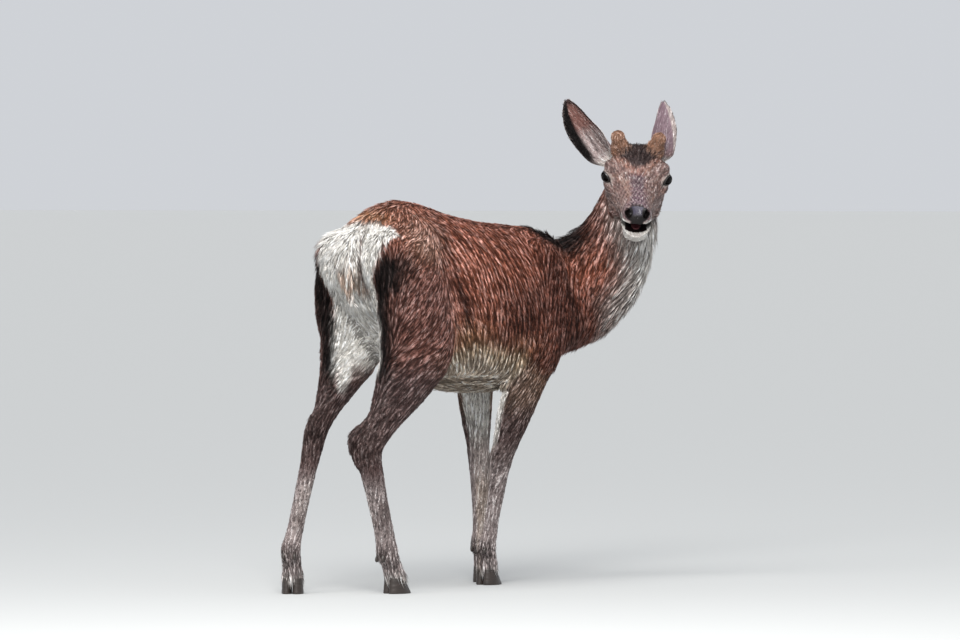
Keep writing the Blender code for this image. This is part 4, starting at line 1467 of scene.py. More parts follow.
    def rump(self, at: Canvas) -> None:
        """The pale patch round the tail, its dark borders and the tail itself.

        Args:
            at: the canvas.
        """
        lay, broad, fine = at.lay, at.broad, at.fine
        tail, along = at.weight[Part.TAIL], at.place[Part.TAIL]
        x, y, z = at.points.T
        wide = np.abs(y)
        border = 0.064 + 0.030 * ease(z, 0.72, 0.86) + 0.018 * ease(z, 0.875, 0.93)
        border += 0.006 * broad + 0.003 * fine
        reach = 0.014 + 0.076 * ease(z, 0.90, 0.80)
        dark = ease(wide, border - 0.004, border + 0.008) * ease(wide, border + reach, border + 0.3 * reach)
        dark *= ease(x, -0.370, -0.415) * ease(z + 0.01 * broad, 0.895, 0.850) * ease(z, 0.49, 0.57)
        lay(self.BLACK, 0.96 * dark)
        lay(self.TAN, 0.85 * bell(z - 0.955, 0.022) * ease(x, -0.35, -0.42))
        patch = ease(x + 0.006 * fine, -0.395, -0.425) * ease(wide, border + 0.003, border - 0.008)
        lay(self.PALE, patch * ease(z + 0.008 * fine, 0.940, 0.918) * ease(z, 0.47, 0.55))
        fork = ease(wide, 0.085, 0.060) * ease(x, -0.22, -0.28)
        lay(self.PALE, fork * ease(z, 0.74, 0.66) * ease(z + 0.02 * broad, 0.53, 0.61))
        lay(self.PALE, 0.9 * ease(tail, 0.3, 0.7))
        lay(self.TAN, 0.45 * ease(tail, 0.4, 0.8) * ease(along, 0.55, 0.85) * ease(y, -0.05, -0.02))
        heights, middles, halves = np.array(TAIL_OUTLINE).T
        rim = np.abs(np.interp(z, heights, middles) - y)
        side = np.interp(z, heights, halves)
        hang = ease(z, 0.75, 0.78) * ease(z, 0.925, 0.90) * ease(x, -0.44, -0.48)
        # dark red along the tail's right edge: painted shade where the tail lies against the rump
        lay(self.DARK_RED, 0.85 * hang * bell(rim - side, 0.0042) * (y < -0.02))
        lay(self.TAN, 0.65 * hang * ease(z, 0.86, 0.80) * ease(rim, side, side - 0.008))
        # and fainter along its left edge, the same painted shade
        lay(self.DARK_RED, 0.25 * hang * bell(rim - side, 0.0050) * (y > 0))

    def head(self, at: Canvas) -> None:
        """Grey-brown cheeks, a darker bridge and crown, pale rings round the eyes and a white chin.

        Args:
            at: the canvas, open only on the head.
        """
        lay, points = at.lay, at.points
        local = HEAD.local(points)
        x, y, z = local.T
        wide, level = np.abs(y), HEAD.mouth_level
        speck, mottle = ripple(points, 260.0, 21), ripple(points, 620.0, 23)
        lay(self.FACE, 1.0)
        lay(self.TAN, 0.22 * ease(speck, -0.3, 0.9))
        lay(self.LEG_DARK, 0.30 * ease(z, 0.030, 0.052) * ease(x, -0.02, 0.02))
        lay(self.LEG_DARK, 0.35 * ease(ripple(points, 200.0, 22), 0.1, 0.9) * ease(z, 0.02, -0.02))
        bridge = ease(wide + 0.004 * speck, 0.030, 0.010) * ease(x, 0.00, 0.04)
        lay(self.BRIDGE, 0.80 * bridge * ease(z, -0.03, 0.01))
        lay(self.CROWN, 0.40 * ease(wide + 0.005 * speck, 0.026, 0.012) * bell(x - 0.078, 0.024))
        lay(self.BRIDGE, 0.5 * ease(x, 0.12, 0.16))
        vee = 0.012 + 0.038 * ease(x, 0.048, -0.030)
        brow = ease(wide, vee + 0.020, vee + 0.008) * ease(x, 0.066, 0.046)
        lay(self.BROW, 0.65 * brow * ease(z, 0.02, 0.04))
        crown = ease(wide + 0.004 * speck, vee + 0.002, vee - 0.008) * ease(x, 0.042, 0.022)
        lay(self.CROWN, 0.95 * crown * ease(z, 0.03, 0.045))
        lay(self.KNOB, 0.8 * ease(np.hypot(np.hypot(x + 0.048, wide - 0.052), z - 0.07), 0.045, 0.026))
        lay(self.THROAT, 0.7 * ease(z + 0.004 * speck, -0.085, -0.110))
        lay(self.SHANK, 0.50 * ease(z, -0.092, -0.112) * ease(x, 0.13, 0.09))
        dark = ease(wide + 0.004 * speck, vee + 0.004, vee - 0.006) * ease(x, 0.044, 0.024)
        dark *= ease(z, 0.03, 0.045)
        lay(self.CROWN, 0.74 * ease(mottle, 0.05, 0.75))
        lay(self.THROAT, 0.52 * ease(-mottle, 0.15, 0.85) * (1 - 0.85 * dark))
        eye = HEAD.eye_measure(local)
        lay(self.THROAT, 0.60 * ease(eye + 0.1 * mottle, 1.95, 1.50))
        lay(self.CROWN, 0.5 * ease(np.abs(eye - 2.5), 0.35, 0.1) * ease(z, 0.0, 0.01))
        lay(self.BLACK, ease(eye, 1.36, 1.20))
        tear = [from_path(local, ((0.021, s * 0.069, -0.005), (0.038, s * 0.060, -0.014))) for s in (1, -1)]
        lay(self.BLACK, 0.7 * ease(np.minimum(*tear), 0.0050, 0.0018))
        low, high = HEAD.gape_at(x, y)
        lay(self.PALE, 0.90 * ease(x, 0.100, 0.130) * ease(z, level - low + 0.004, level - low - 0.004))
        lay(self.PALE, 0.85 * ease(x, 0.125, 0.15) * ease(z, -0.030, -0.040) * ease(wide, 0.014, 0.021))
        lay(self.BLACK, ease(wide, 0.020, 0.013) * ease(x, 0.155, 0.168) * ease(z, -0.056, -0.049))
        lips = np.minimum(np.abs(z - level + low) * 0.5, np.abs(z - level - high))
        lips = ease(lips, 0.0032, 0.0014) * ease(x, 0.088, 0.10) * ease(x + 0.5 * (z < -0.07), 0.165, 0.15)
        lay(self.BLACK, 0.85 * lips)


MANE = ((0.300, 0, 0.915), (0.38, 0, 0.915), (0.455, 0.03, 0.925), (0.485, 0.03, 0.98))
TAIL_OUTLINE = (  # height, y of the middle, half width
    (0.73, -0.044, 0.010), (0.77, -0.036, 0.020), (0.82, -0.024, 0.029), (0.87, -0.010, 0.029),
    (0.90, 0.0, 0.0272), (0.92, 0.0, 0.026),
)


# ---------------------------------------------------------------- the coat

Measure = Callable[[Array, Array], "Array | Fur"]  # something worked out from points and normals
ROOT_DEPTH = 0.0006  # how far the tufts' roots lie under the skin
LEAF_AREA = 0.62  # a leaf's area as a share of its length times its width
GROUP_TURN = 12.9898  # radians from one leader's brightness to the next's, so that they differ at random
GATHER_FULLY, GATHER_NOT = 0.004, 0.030  # how near its leader a tuft gathers to it fully, or not at all
LEADER_SHARE = 0.045  # the share of the tufts that others gather to
# a leaf's triangles; its points are the root, the left and right sides, the ridge and the tip
LEAF = ((0, 3, 1), (0, 2, 3), (1, 3, 4), (3, 2, 4), (0, 1, 2), (1, 4, 2))


@dataclass
class Fur:
    """Sizes of the tufts at each point: one array for each number."""

    length: Array
    width: Array
    lift: Array  # radians from the skin
    clump: Array  # how far the tips draw together
    cover: Array  # layers of coat

    @property
    def depth(self) -> Array:
        """How far the tufts stand off the skin."""
        return 0.5 * self.length * (np.sin(self.lift) + np.sin(0.3 * self.lift)) + 0.0008

    def set_to(self, mask: Array, *values: float) -> None:
        """Moves length, width, lift, clump and cover towards these values, as far as the mask says.

        Args:
            mask: how far, from 0 to 1.
            values: the values, in the order of the fields.
        """
        for item, value in zip(fields(self), values):
            old = getattr(self, item.name)
            setattr(self, item.name, old + (value - old) * np.clip(mask, 0, 1))


@dataclass
class Pelt:
    """One piece of coat: where it grows and how thick."""

    name: str
    parts: tuple  # the parts it belongs to, for the unwrap
    budget: int  # the most tufts it may hold
    seed: int  # for the random numbers
    ridge: float  # waves of wet ridges per metre, over 2 pi
    span: tuple = (-9.0, 9.0)  # the x between which it grows


@dataclass
class Coat:
    """Lengths of the coat, its colours and the tufts that make it."""

    lie: Lie
    markings: Markings

    def sizes(self, points: Array, normals: Array) -> Fur:
        """How long, wide and upright the tufts are.

        Args:
            points: points of the skin.
            normals: outward normals.

        Returns:
            The tufts' sizes at each point.
        """
        weight, _, front, _ = self.lie.measure(points)
        w = {part: weight[:, i] for i, part in enumerate(self.lie.parts)}
        fur = Fur(*(np.full(len(points), value) for value in (0.024, 0.0021, 0.20, 0.45, 3.4)))
        set_to = fur.set_to
        x, y, z = points.T
        under = ease(z, 0.60, 0.54) * ease(x, -0.34, -0.28) * ease(x, 0.26, 0.16)
        set_to(under, 0.030, 0.0024, 0.26, 0.40, 3.1)
        facing = dots(normals, unit(front[:, self.lie.parts.index(Part.NECK)]))
        neck = ease(w[Part.NECK], 0.35, 0.8)
        set_to(neck, 0.028, 0.0024, 0.24, 0.45, 3.2)
        set_to(neck * ease(facing, -0.2, 0.6), 0.042, 0.0028, 0.30, 0.5, 3.3)
        set_to(ease(from_path(points, MANE[:3]), 0.07, 0.03), 0.040, 0.0034, 0.34, 0.5, 2.8)
        for leg in LEGS:
            on = ease(w[leg.part], 0.3, 0.8)
            set_to(on * ease(z, 0.62, 0.52), 0.017, 0.0020, 0.20, 0.35, 2.6)
            set_to(on * ease(z, 0.42, 0.30), 0.0115, 0.0018, 0.22, 0.3, 2.6)
            set_to(on * ease(z, 0.125, 0.100), 0.018, 0.0022, 0.34, 0.3, 2.6)
            set_to(on * ease(z, 0.078, 0.060), 0.034, 0.0022, 0.14, 0.3, 3.6)
        set_to(ease(z, 0.90, 0.94) * ease(x, -0.28, -0.34), 0.028, 0.0021, 0.34, 0.5, 3.2)
        patch = ease(x, -0.42, -0.455) * ease(np.abs(y), 0.125, 0.10) * ease(z, 0.60, 0.70)
        set_to(patch, 0.036, 0.0019, 0.42, 0.40, 3.6)
        fork = ease(x, -0.33, -0.37) * ease(np.abs(y), 0.075, 0.055) * ease(z, 0.74, 0.70)
        set_to(fork, 0.020, 0.0022, 0.20, 0.2, 6.5)
        set_to(ease(w[Part.TAIL], 0.3, 0.7), 0.046, 0.0030, 0.26, 0.35, 4.2)
        head = ease(w[Part.HEAD], 0.3, 0.8)
        local = HEAD.local(points)
        x, y, z = local.T
        set_to(head, 0.0090, 0.0015, 0.24, 0.25, 2.1)
        set_to(head * ease(x, 0.06, 0.13), 0.0050, 0.0012, 0.20, 0.15, 1.7)
        set_to(head * ease(z, 0.035, 0.06) * ease(x, 0.03, -0.02), 0.014, 0.0020, 0.42, 0.3, 2.4)
        set_to(head * ease(z, -0.065, -0.090) * ease(x, 0.07, 0.02), 0.016, 0.0020, 0.26, 0.3, 2.4)
        set_to(head * ease(x, -0.03, -0.08), 0.022, 0.0024, 0.28, 0.4, 2.5)
        set_to(head * ease(HEAD.eye_measure(local), 2.6, 1.7), 0.0042, 0.0011, 0.16, 0.1, 1.6)
        return fur

    def grow(
        self, pelt: Pelt, skin: Shell, choose: Measure | None = None, fur: Measure | None = None,
        paint: Measure | None = None,
    ) -> bpy.types.Object:
        """Grows tufts over a skin, as many to an area as cover it, and makes them one piece.

        Args:
            pelt: the piece's name, parts and numbers.
            skin: the skin they stand on.
            choose: gives where tufts may stand, from 0 to 1.
            fur: gives the tufts' sizes, if not the body's.
            paint: gives the tufts' colours, if not the body's.

        Returns:
            The piece.
        """
        rng = np.random.default_rng(pelt.seed)
        sizes, paint = fur or self.sizes, paint or self.markings.paint
        corner = triangles(skin.faces)
        p = skin.points[corner]
        cross = np.cross(p[:, 1] - p[:, 0], p[:, 2] - p[:, 0])
        area = np.linalg.norm(cross, axis=1) / 2
        middle, face = p.mean(1), unit(cross)
        hair = sizes(middle, face)
        wanted = area * hair.cover / (hair.length * hair.width * LEAF_AREA)
        if choose is not None:
            wanted *= choose(middle, face)
        total = int(min(pelt.budget, wanted.sum()))
        log.info("%s: %d tufts wanted, %d grown", pelt.name, int(wanted.sum()), total)
        pick = rng.choice(len(area), total, p=wanted / wanted.sum())
        share = np.sqrt(rng.random(total))
        other = rng.random(total)
        bary = np.stack([1 - share, share * (1 - other), share * other], 1)[..., None]
        root = (p[pick] * bary).sum(1)
        normal = unit((vertex_normals(skin)[corner[pick]] * bary).sum(1))
        flow = self.lie.flow(root, normal)
        return self.tufts(pelt, root, normal, sizes(root, normal), flow, paint(root, normal), rng)

    def tufts(
        self, pelt: Pelt, root: Array, normal: Array, hair: Fur, flow: Array, colour: Array,
        rng: np.random.Generator,
    ) -> bpy.types.Object:
        """Makes one closed leaf for each root: root, two sides, a ridge and a tip, in six triangles.

        Each leaf rises at its lift and bends over beyond its middle.  Wet ridges lift leaves on their crests
        and draw the others towards them; then each leaf's tip is drawn towards its nearest leader's.

        Args:
            pelt: the piece's name, parts and numbers.
            root: where the tufts stand.
            normal: the skin's normals there.
            hair: the tufts' sizes.
            flow: which way they run.
            colour: their colours.
            rng: the random numbers.

        Returns:
            The piece.
        """
        count, run, square = len(root), flow, np.cross(normal, flow)
        crest, slope = streaks(root, run, square, pelt.ridge)
        flow = unit(flow + square * rng.normal(0, 0.08, (count, 1)))
        across = np.cross(normal, flow)
        length = (hair.length * rng.uniform(0.70, 1.12, count))[:, None]
        width = (hair.width * rng.uniform(0.75, 1.15, count))[:, None]
        lift = (hair.lift * rng.uniform(0.5, 1.35, count) * (1 + 0.45 * np.clip(crest, -1.3, 1.6)))[:, None]
        base = root - normal * ROOT_DEPTH
        half = base + 0.5 * length * (np.cos(lift) * flow + np.sin(lift) * normal)
        tip = half + 0.5 * length * (np.cos(lift * 0.3) * flow + np.sin(lift * 0.3) * normal)
        gathered = (1.6 / pelt.ridge * slope)[:, None] * across
        tip, half = tip + gathered, half + 0.45 * gathered
        lead = self.leaders(root, rng)
        away = np.linalg.norm(root - root[lead], axis=1)[:, None]
        draw = hair.clump[:, None] * ease(away, GATHER_NOT, GATHER_FULLY)
        aim = tip[lead] + 0.15 * length * flow
        same = (dots(normal, normal[lead]) > 0.6)[:, None]
        tip = np.where(same, tip + (aim - tip) * draw, tip)
        half = np.where(same, half + (aim - half) * draw * 0.25, half)
        broadest = half * 0.62 + base * 0.38  # a leaf is broadest at 0.62 of the way to its middle
        left, right = broadest + across * width * 0.5, broadest - across * width * 0.5
        ridge = normal * width * 0.22 + across * width * rng.uniform(-0.15, 0.15, (count, 1))
        spine = half * 0.7 + base * 0.3 + ridge
        points = np.stack([base, left, right, spine, tip], 1).reshape(-1, 3)
        faces = (np.arange(count)[:, None, None] * 5 + np.array(LEAF)).reshape(-1, 3)
        paleness = colour.mean(1, keepdims=True)
        long = ease(hair.length, 0.007, 0.024)[:, None]
        bright = rng.normal(1.0, 0.14 + 0.10 * (1 - long), (count, 1))
        bright = bright * (1 + 0.12 * np.sin(lead * GROUP_TURN)[:, None])
        # low and high scale each leaf from the gaps to the crests of the wet ridges: painted shade in the
        # gaps and painted highlight on the crests
        low = 0.62 + (0.14 + 0.62 * paleness - 0.62) * (0.34 + 0.66 * long)
        high = 1.35 + (2.9 - 1.6 * paleness - 1.35) * (0.22 + 0.78 * long)
        tints = []
        # darker at the root and lighter at the tip: painted shade deep in the coat and painted light on the
        # tips
        painted_depth_shading = (0.45 + 0.3 * paleness, 0.80, 0.80, 0.95, 1.20)
        for place, depth_shading in zip((base, left, right, spine, tip), painted_depth_shading):
            crest, _ = streaks(place, run, square, pelt.ridge)
            wet = ease(crest, -1.0, 1.6)[:, None]
            # the crests drawn towards a pale grey: a painted sheen of light on the wet hair
            painted_sheen = colour + (paleness * 1.4 + 0.004 - colour) * 0.45 * wet**3
            tints.append(painted_sheen * bright * depth_shading * (low + (high - low) * wet**1.5))
        tint = np.clip(np.stack(tints, 1), 0.001, 1).reshape(-1, 3)
        return self.piece(pelt.name, points, faces, tint, self.patches(root, pelt.parts, count))

    @staticmethod
    def leaders(root: Array, rng: np.random.Generator) -> Array:
        """Chooses a few tufts that the others gather to.

        Args:
            root: where the tufts stand.
            rng: the random numbers.

        Returns:
            For each tuft, the number of the nearest leader.
        """
        gather = max(int(len(root) * LEADER_SHARE), 1)
        seeds = rng.choice(len(root), gather, replace=False)
        tree = KDTree(gather)
        for i, place in enumerate(root[seeds].tolist()):
            tree.insert(place, i)
        tree.balance()
        return seeds[np.array([tree.find(place)[1] for place in root.tolist()])]

    def patches(self, root: Array, parts: tuple, count: int) -> Array:
        """Where each point of each leaf falls on the unwrap: a patch 0.003 across at its root's place.

        Args:
            root: where the tufts stand.
            parts: the parts that share the unwrap side by side.
            count: how many tufts there are.

        Returns:
            Five places for each leaf.
        """
        weight = self.lie.measure(root)[0][:, [self.lie.parts.index(part) for part in parts]]
        belongs = weight.argmax(1)
        at = np.zeros((count, 2))
        for i, part in enumerate(parts):
            mine = belongs == i
            if mine.any():
                turn, place = self.lie.unwrap(root[mine], part)
                at[mine, 0] = (i + 0.01 + 0.98 * turn) / len(parts)
                at[mine, 1] = place
        at[:, 1] = (at[:, 1] - at[:, 1].min()) / max(np.ptp(at[:, 1]), 1e-6)
        at = 0.003 + at * 0.991
        spread = np.array([(0, 0), (-1, 1), (1, 1), (0, 1.2), (0, 2)]) * 0.0015
        return (at[:, None] + spread).reshape(-1, 2)

    @staticmethod
    def piece(name: str, points: Array, faces: Array, tint: Array, place: Array) -> bpy.types.Object:
        """One object of triangles with the colour attribute Coat and the map OFBake.

        Args:
            name: the object's name.
            points: its points in the animal's frame.
            faces: rows of three point numbers.
            tint: the points' colours.
            place: the points' places on the map.

        Returns:
            The object.
        """
        mesh = bpy.data.meshes.new(name)
        mesh.vertices.add(len(points))
        mesh.vertices.foreach_set("co", (points + OFFSET).ravel())
        mesh.loops.add(faces.size)
        mesh.loops.foreach_set("vertex_index", faces.ravel())
        mesh.polygons.add(len(faces))
        mesh.polygons.foreach_set("loop_start", np.arange(0, faces.size, 3))
        mesh.update(calc_edges=True)
        mesh.uv_layers.new(name="OFBake").uv.foreach_set("vector", place[faces.ravel()].ravel())
        store_colour(mesh, tint)
        mesh.shade_smooth()
        return linked(name, mesh)


def store_colour(mesh: bpy.types.Mesh, tint: Array) -> None:
    """Writes linear colours, one for each point, to a mesh as the attribute Coat."""
    layer = mesh.color_attributes.new("Coat", "FLOAT_COLOR", "POINT")
    layer.data.foreach_set("color", np.column_stack([tint, np.ones(len(tint))]).ravel())


# ---------------------------------------------------------------- finishes


class PatternGroup:
    """A shader node group that turns a noise into a colour and a relief.

    The colour is scaled between 1 - Contrast and a lightest value as the noise goes from 0.3 to 0.7.
    """

    def __init__(self, name: str, inputs: dict, detail: float) -> None:
        """Makes the group's sockets and its noise.

        Args:
            name: the group's name.
            inputs: default values by name, besides Colour, Contrast and Relief.
            detail: how fine the noise goes.
        """
        self.group = bpy.data.node_groups.new(name, "ShaderNodeTree")
        sockets = self.group.interface.new_socket
        sockets("Colour", in_out="INPUT", socket_type="NodeSocketColor").default_value = (0.5, 0.5, 0.5, 1.0)
        for key, value in {**inputs, "Contrast": 0.5, "Relief": 0.4}.items():
            sockets(key, in_out="INPUT", socket_type="NodeSocketFloat").default_value = value
        sockets("Colour", in_out="OUTPUT", socket_type="NodeSocketColor")
        sockets("Normal", in_out="OUTPUT", socket_type="NodeSocketVector")
        self.given, self.out = self.node("NodeGroupInput"), self.node("NodeGroupOutput")
        self.noise = self.node("ShaderNodeTexNoise")
        self.noise.inputs["Detail"].default_value = detail

    def node(self, kind: str, operation: str = "") -> bpy.types.Node:
        """Adds a node, set to an operation if one is named.

        Args:
            kind: the node's type.
            operation: its operation.

        Returns:
            The node.
        """
        made = self.group.nodes.new(kind)
        if operation:
            made.operation = operation
        return made

    def finish(self, lightest: float, depth: float) -> None:
        """Leads the noise to the colour and the relief.

        Args:
            lightest: what the colour is scaled by where the noise is high.
            depth: the relief's depth in metres at a Relief of 1.
        """
        link, given = self.group.links.new, self.given.outputs
        low = self.node("ShaderNodeMath", "SUBTRACT")
        low.inputs[0].default_value = 1.0
        link(given["Contrast"], low.inputs[1])
        spread = self.node("ShaderNodeMapRange")
        for key, value in (("From Min", 0.3), ("From Max", 0.7), ("To Max", lightest)):
            spread.inputs[key].default_value = value
        link(low.outputs["Value"], spread.inputs["To Min"])
        link(self.noise.outputs["Fac"], spread.inputs["Value"])
        tint = self.node("ShaderNodeVectorMath", "SCALE")
        link(given["Colour"], tint.inputs[0])
        link(spread.outputs["Result"], tint.inputs["Scale"])
        bump = self.node("ShaderNodeBump")
        bump.inputs["Distance"].default_value = depth
        link(given["Relief"], bump.inputs["Strength"])
        link(self.noise.outputs["Fac"], bump.inputs["Height"])
        link(tint.outputs["Vector"], self.out.inputs["Colour"])
        link(bump.outputs["Normal"], self.out.inputs["Normal"])


def add_strands() -> None:
    """Makes the group Strands: noise drawn out along the lie of the coat, from the map Lie."""
    made = PatternGroup("Strands", {"Across": 900.0, "Along": 60.0}, 3.0)
    link = made.group.links.new
    where = made.node("ShaderNodeUVMap")
    where.uv_map = "Lie"
    split, stretch = made.node("ShaderNodeSeparateXYZ"), made.node("ShaderNodeCombineXYZ")
    link(where.outputs["UV"], split.inputs["Vector"])
    for axis, scale in (("X", "Across"), ("Y", "Along")):
        times = made.node("ShaderNodeMath", "MULTIPLY")
        link(split.outputs[axis], times.inputs[0])
        link(made.given.outputs[scale], times.inputs[1])
        link(times.outputs["Value"], stretch.inputs[axis])
    made.noise.inputs["Scale"].default_value = 1.0
    link(stretch.outputs["Vector"], made.noise.inputs["Vector"])
    made.finish(1.25, 0.0012)


def add_grain() -> None:
    """Makes the group Grain: uneven growth over the object's own space, squeezed in height by Stretch."""
    made = PatternGroup("Grain", {"Scale": 200.0, "Stretch": 1.0}, 4.0)
    link = made.group.links.new
    squeeze = made.node("ShaderNodeCombineXYZ")
    squeeze.inputs["X"].default_value = squeeze.inputs["Y"].default_value = 1.0
    link(made.given.outputs["Stretch"], squeeze.inputs["Z"])
    scaled = made.node("ShaderNodeVectorMath", "MULTIPLY")
    link(made.node("ShaderNodeTexCoord").outputs["Object"], scaled.inputs[0])
    link(squeeze.outputs["Vector"], scaled.inputs[1])
    link(scaled.outputs["Vector"], made.noise.inputs["Vector"])
    link(made.given.outputs["Scale"], made.noise.inputs["Scale"])
    made.finish(1.3, 0.001)


@dataclass(frozen=True)
class Finish:
    """A material's uniform numbers, with a pattern group or none."""

    name: str
    colour: tuple = (0.5, 0.5, 0.5)  # linear; unused where the coat's attribute gives it
    roughness: float = 0.5
    specular: float = 0.5
    wet: float = 0.0  # weight of the clear layer
    wet_roughness: float = 0.15
    from_coat: bool = False
    pattern: str = ""
    settings: dict = field(default_factory=dict)

    def material(self) -> bpy.types.Material:
        """Makes the material.

        Returns:
            The material.
        """
        made = bpy.data.materials.new(self.name)
        made.use_nodes = True
        nodes, link = made.node_tree.nodes, made.node_tree.links.new
        shader = nodes["Principled BSDF"]
        for socket, value in (
            ("Base Color", (*self.colour, 1.0)), ("Roughness", self.roughness), ("Metallic", 0.0),
            ("Specular IOR Level", self.specular), ("Coat Weight", self.wet),
            ("Coat Roughness", self.wet_roughness),
        ):
            shader.inputs[socket].default_value = value
        source = None
        if self.from_coat:
            attribute = nodes.new("ShaderNodeVertexColor")
            attribute.layer_name = "Coat"
            source = attribute.outputs["Color"]
        if self.pattern:
            effect = nodes.new("ShaderNodeGroup")
            effect.node_tree = bpy.data.node_groups[self.pattern]
            for key, value in self.settings.items():
                effect.inputs[key].default_value = value
            if source is not None:
                link(source, effect.inputs["Colour"])
            else:
                effect.inputs["Colour"].default_value = (*self.colour, 1.0)
            link(effect.outputs["Colour"], shader.inputs["Base Color"])
            link(effect.outputs["Normal"], shader.inputs["Normal"])
        elif source is not None:
            link(source, shader.inputs["Base Color"])
        return made


SKIN = Finish(
    "skin", roughness=0.62, specular=0.3, from_coat=True, pattern="Strands",
    settings={"Across": 900.0, "Along": 60.0, "Contrast": 0.55, "Relief": 0.6},
)
COAT = Finish("coat", roughness=0.48, specular=0.15, wet=0.03, wet_roughness=0.25, from_coat=True)
NOSE = Finish(
    "nose_leather", roughness=0.32, specular=0.20, wet=0.16, wet_roughness=0.12, from_coat=True,
    pattern="Grain", settings={"Scale": 520.0, "Contrast": 0.5, "Relief": 0.9},
)
LID = Finish("lid_rim", tuple(shade(22, 17, 16)), roughness=0.4, specular=0.5, wet=0.4)
# near black: painted shade inside the open mouth, over the lining
MOUTH_SHADE = Finish("mouth_lining_shade", tuple(shade(20, 11, 12)), roughness=0.5, specular=0.25)
# the tongue's own red, darkened by painted shade inside the mouth
SHADED_TONGUE = Finish(
    "tongue", tuple(shade(74, 36, 40)), roughness=0.5, specular=0.25, pattern="Grain",
    settings={"Scale": 700.0, "Contrast": 0.3, "Relief": 0.4},
)
TOOTH = Finish("tooth", tuple(shade(150, 138, 116)), roughness=0.4, specular=0.3)
EYE_BALL = Finish("eye_ball", tuple(shade(9, 6, 5)), roughness=0.05, specular=0.10)
PUPIL = Finish("pupil", tuple(shade(4, 4, 5)), roughness=0.05, specular=0.10)
HORN = Finish(
    "claw_horn", tuple(shade(46, 38, 34)), roughness=0.45, specular=0.45, wet=0.15, pattern="Grain",
    settings={"Scale": 60.0, "Contrast": 0.45, "Relief": 0.5, "Stretch": 9.0},
)
FLOOR = Finish("floor", (0.47, 0.48, 0.48), roughness=0.9, specular=0.1)


# ---------------------------------------------------------------- the pieces


def inside(points: Array, shell_tree: BVHTree, slack: float = 0.0) -> Array:
    """Which points lie inside a closed skin, deeper than the slack.

    Args:
        points: points in the skin's frame.
        shell_tree: the skin.
        slack: how deep they must lie.

    Returns:
        True for each point inside.
    """
    found = np.zeros(len(points), bool)
    for i, p in enumerate(points.tolist()):
        spot, normal, _, _ = shell_tree.find_nearest(p, 0.3)
        if spot is not None:
            found[i] = (Vector(p) - spot).dot(normal) < -slack
    return found


def tree_of(shell: Shell) -> BVHTree:
    """A search tree over a skin."""
    return BVHTree.FromPolygons(shell.points.tolist(), shell.faces)


def finish_with(thing: bpy.types.Object, *names: str) -> None:
    """Gives an object the finishes of these names, in the order of its slots."""
    for name in names:
        thing.data.materials.append(MATERIALS[name])


@dataclass
class EarDress:
    """Colours and tufts of one ear."""

    ear: Ear
    dark_edge: float  # how black one margin is, its sign saying which
    inner_length: float = 0.017  # of the hair within

    # painted shade in the depth of the ear's cup
    DEPTHS = shade(120, 92, 84)

    def split(self, points: Array, normals: Array) -> tuple[Array, Array, Array]:
        """Finds where points lie on the ear.

        Args:
            points: points of the ear.
            normals: its outward normals.

        Returns:
            Whether they face into the cup, their turn from its middle (-1 and 1 at its edges), and how far
            up they are, from 0 to 1.
        """
        s, centre, along, front, radius, half_angle = self.ear.frames()
        up = Lie([self.ear.line()]).measure(points)[3][:, 0]
        index = np.clip(np.searchsorted(s, up), 0, len(s) - 1)
        rel, front, radius = points - centre[index], front[index], radius[index]
        side = np.cross(along[index], front)
        lean = np.arctan2(dots(rel, side), 0.5 * radius - dots(rel, front)) / half_angle[index]
        axis = centre[index] + front * (radius * 0.4)[:, None]
        return dots(normals, axis - points) > 0, lean, up

    def paint(self, points: Array, normals: Array) -> Array:
        """Grey-brown outside, pale pinkish inside with dark margins, and painted shade in the cup's depth and
        hollows.

        Args:
            points: points of the ear.
            normals: its outward normals.

        Returns:
            Linear colours, one row for each point.
        """
        cup, lean, up = self.split(points, normals)
        out = np.abs(lean)
        within = [(self.DEPTHS, 0.35 * ease(out, 0.35, 0.0)), (Markings.EAR_RED, 0.85 * ease(up, 0.40, 0.62))]
        # two hollows along the cup, darkened: painted shade
        for at, wide in ((0.22, 0.10), (-0.34, 0.08)):
            hollow = bell(lean - at - 0.3 * (up - 0.3), wide) * ease(up, 0.12, 0.22) * ease(up, 0.60, 0.45)
            within.append((Markings.CROWN, 0.55 * hollow))
        dark = ease(lean * self.dark_edge, 0.60, 0.80) * ease(up, 0.10, 0.24) * abs(self.dark_edge)
        within += [
            (Markings.CROWN, 0.85 * ease(out, 0.74, 0.92)), (Markings.BLACK, dark),
            (Markings.CROWN, 0.9 * ease(up, 0.88, 0.97)),
        ]
        behind = [(Markings.THROAT, 0.7 * ease(out, 0.92, 1.0)), (Markings.FACE, 0.6 * ease(up, 0.35, 0.1))]
        faces = []
        for ground, layers in ((Markings.INNER_EAR, within), (Markings.EAR_BACK, behind)):
            colour = np.tile(ground, (len(points), 1))
            for tint, mask in (*layers, (Markings.PALE, 0.75 * ease(up, 0.16, 0.04))):
                colour = colour + (tint - colour) * mask[:, None]
            faces.append(colour)
        return np.where(cup[:, None], *faces)

    def fur(self, points: Array, normals: Array) -> Fur:
        """Short and flat outside, long and loose inside, least near the tip.

        Args:
            points: points of the ear.
            normals: its outward normals.

        Returns:
            The tufts' sizes at each point.
        """
        cup, _, up = self.split(points, normals)
        length = np.where(cup, self.inner_length * (1 - 0.55 * up), 0.0070) + 0.010 * ease(up, 0.18, 0.05)
        width, lift, cover = (np.where(cup, *pair) for pair in ((0.0011, 0.0015), (0.34, 0.16), (1.0, 1.8)))
        return Fur(length, width, lift, np.full(len(up), 0.2), cover)


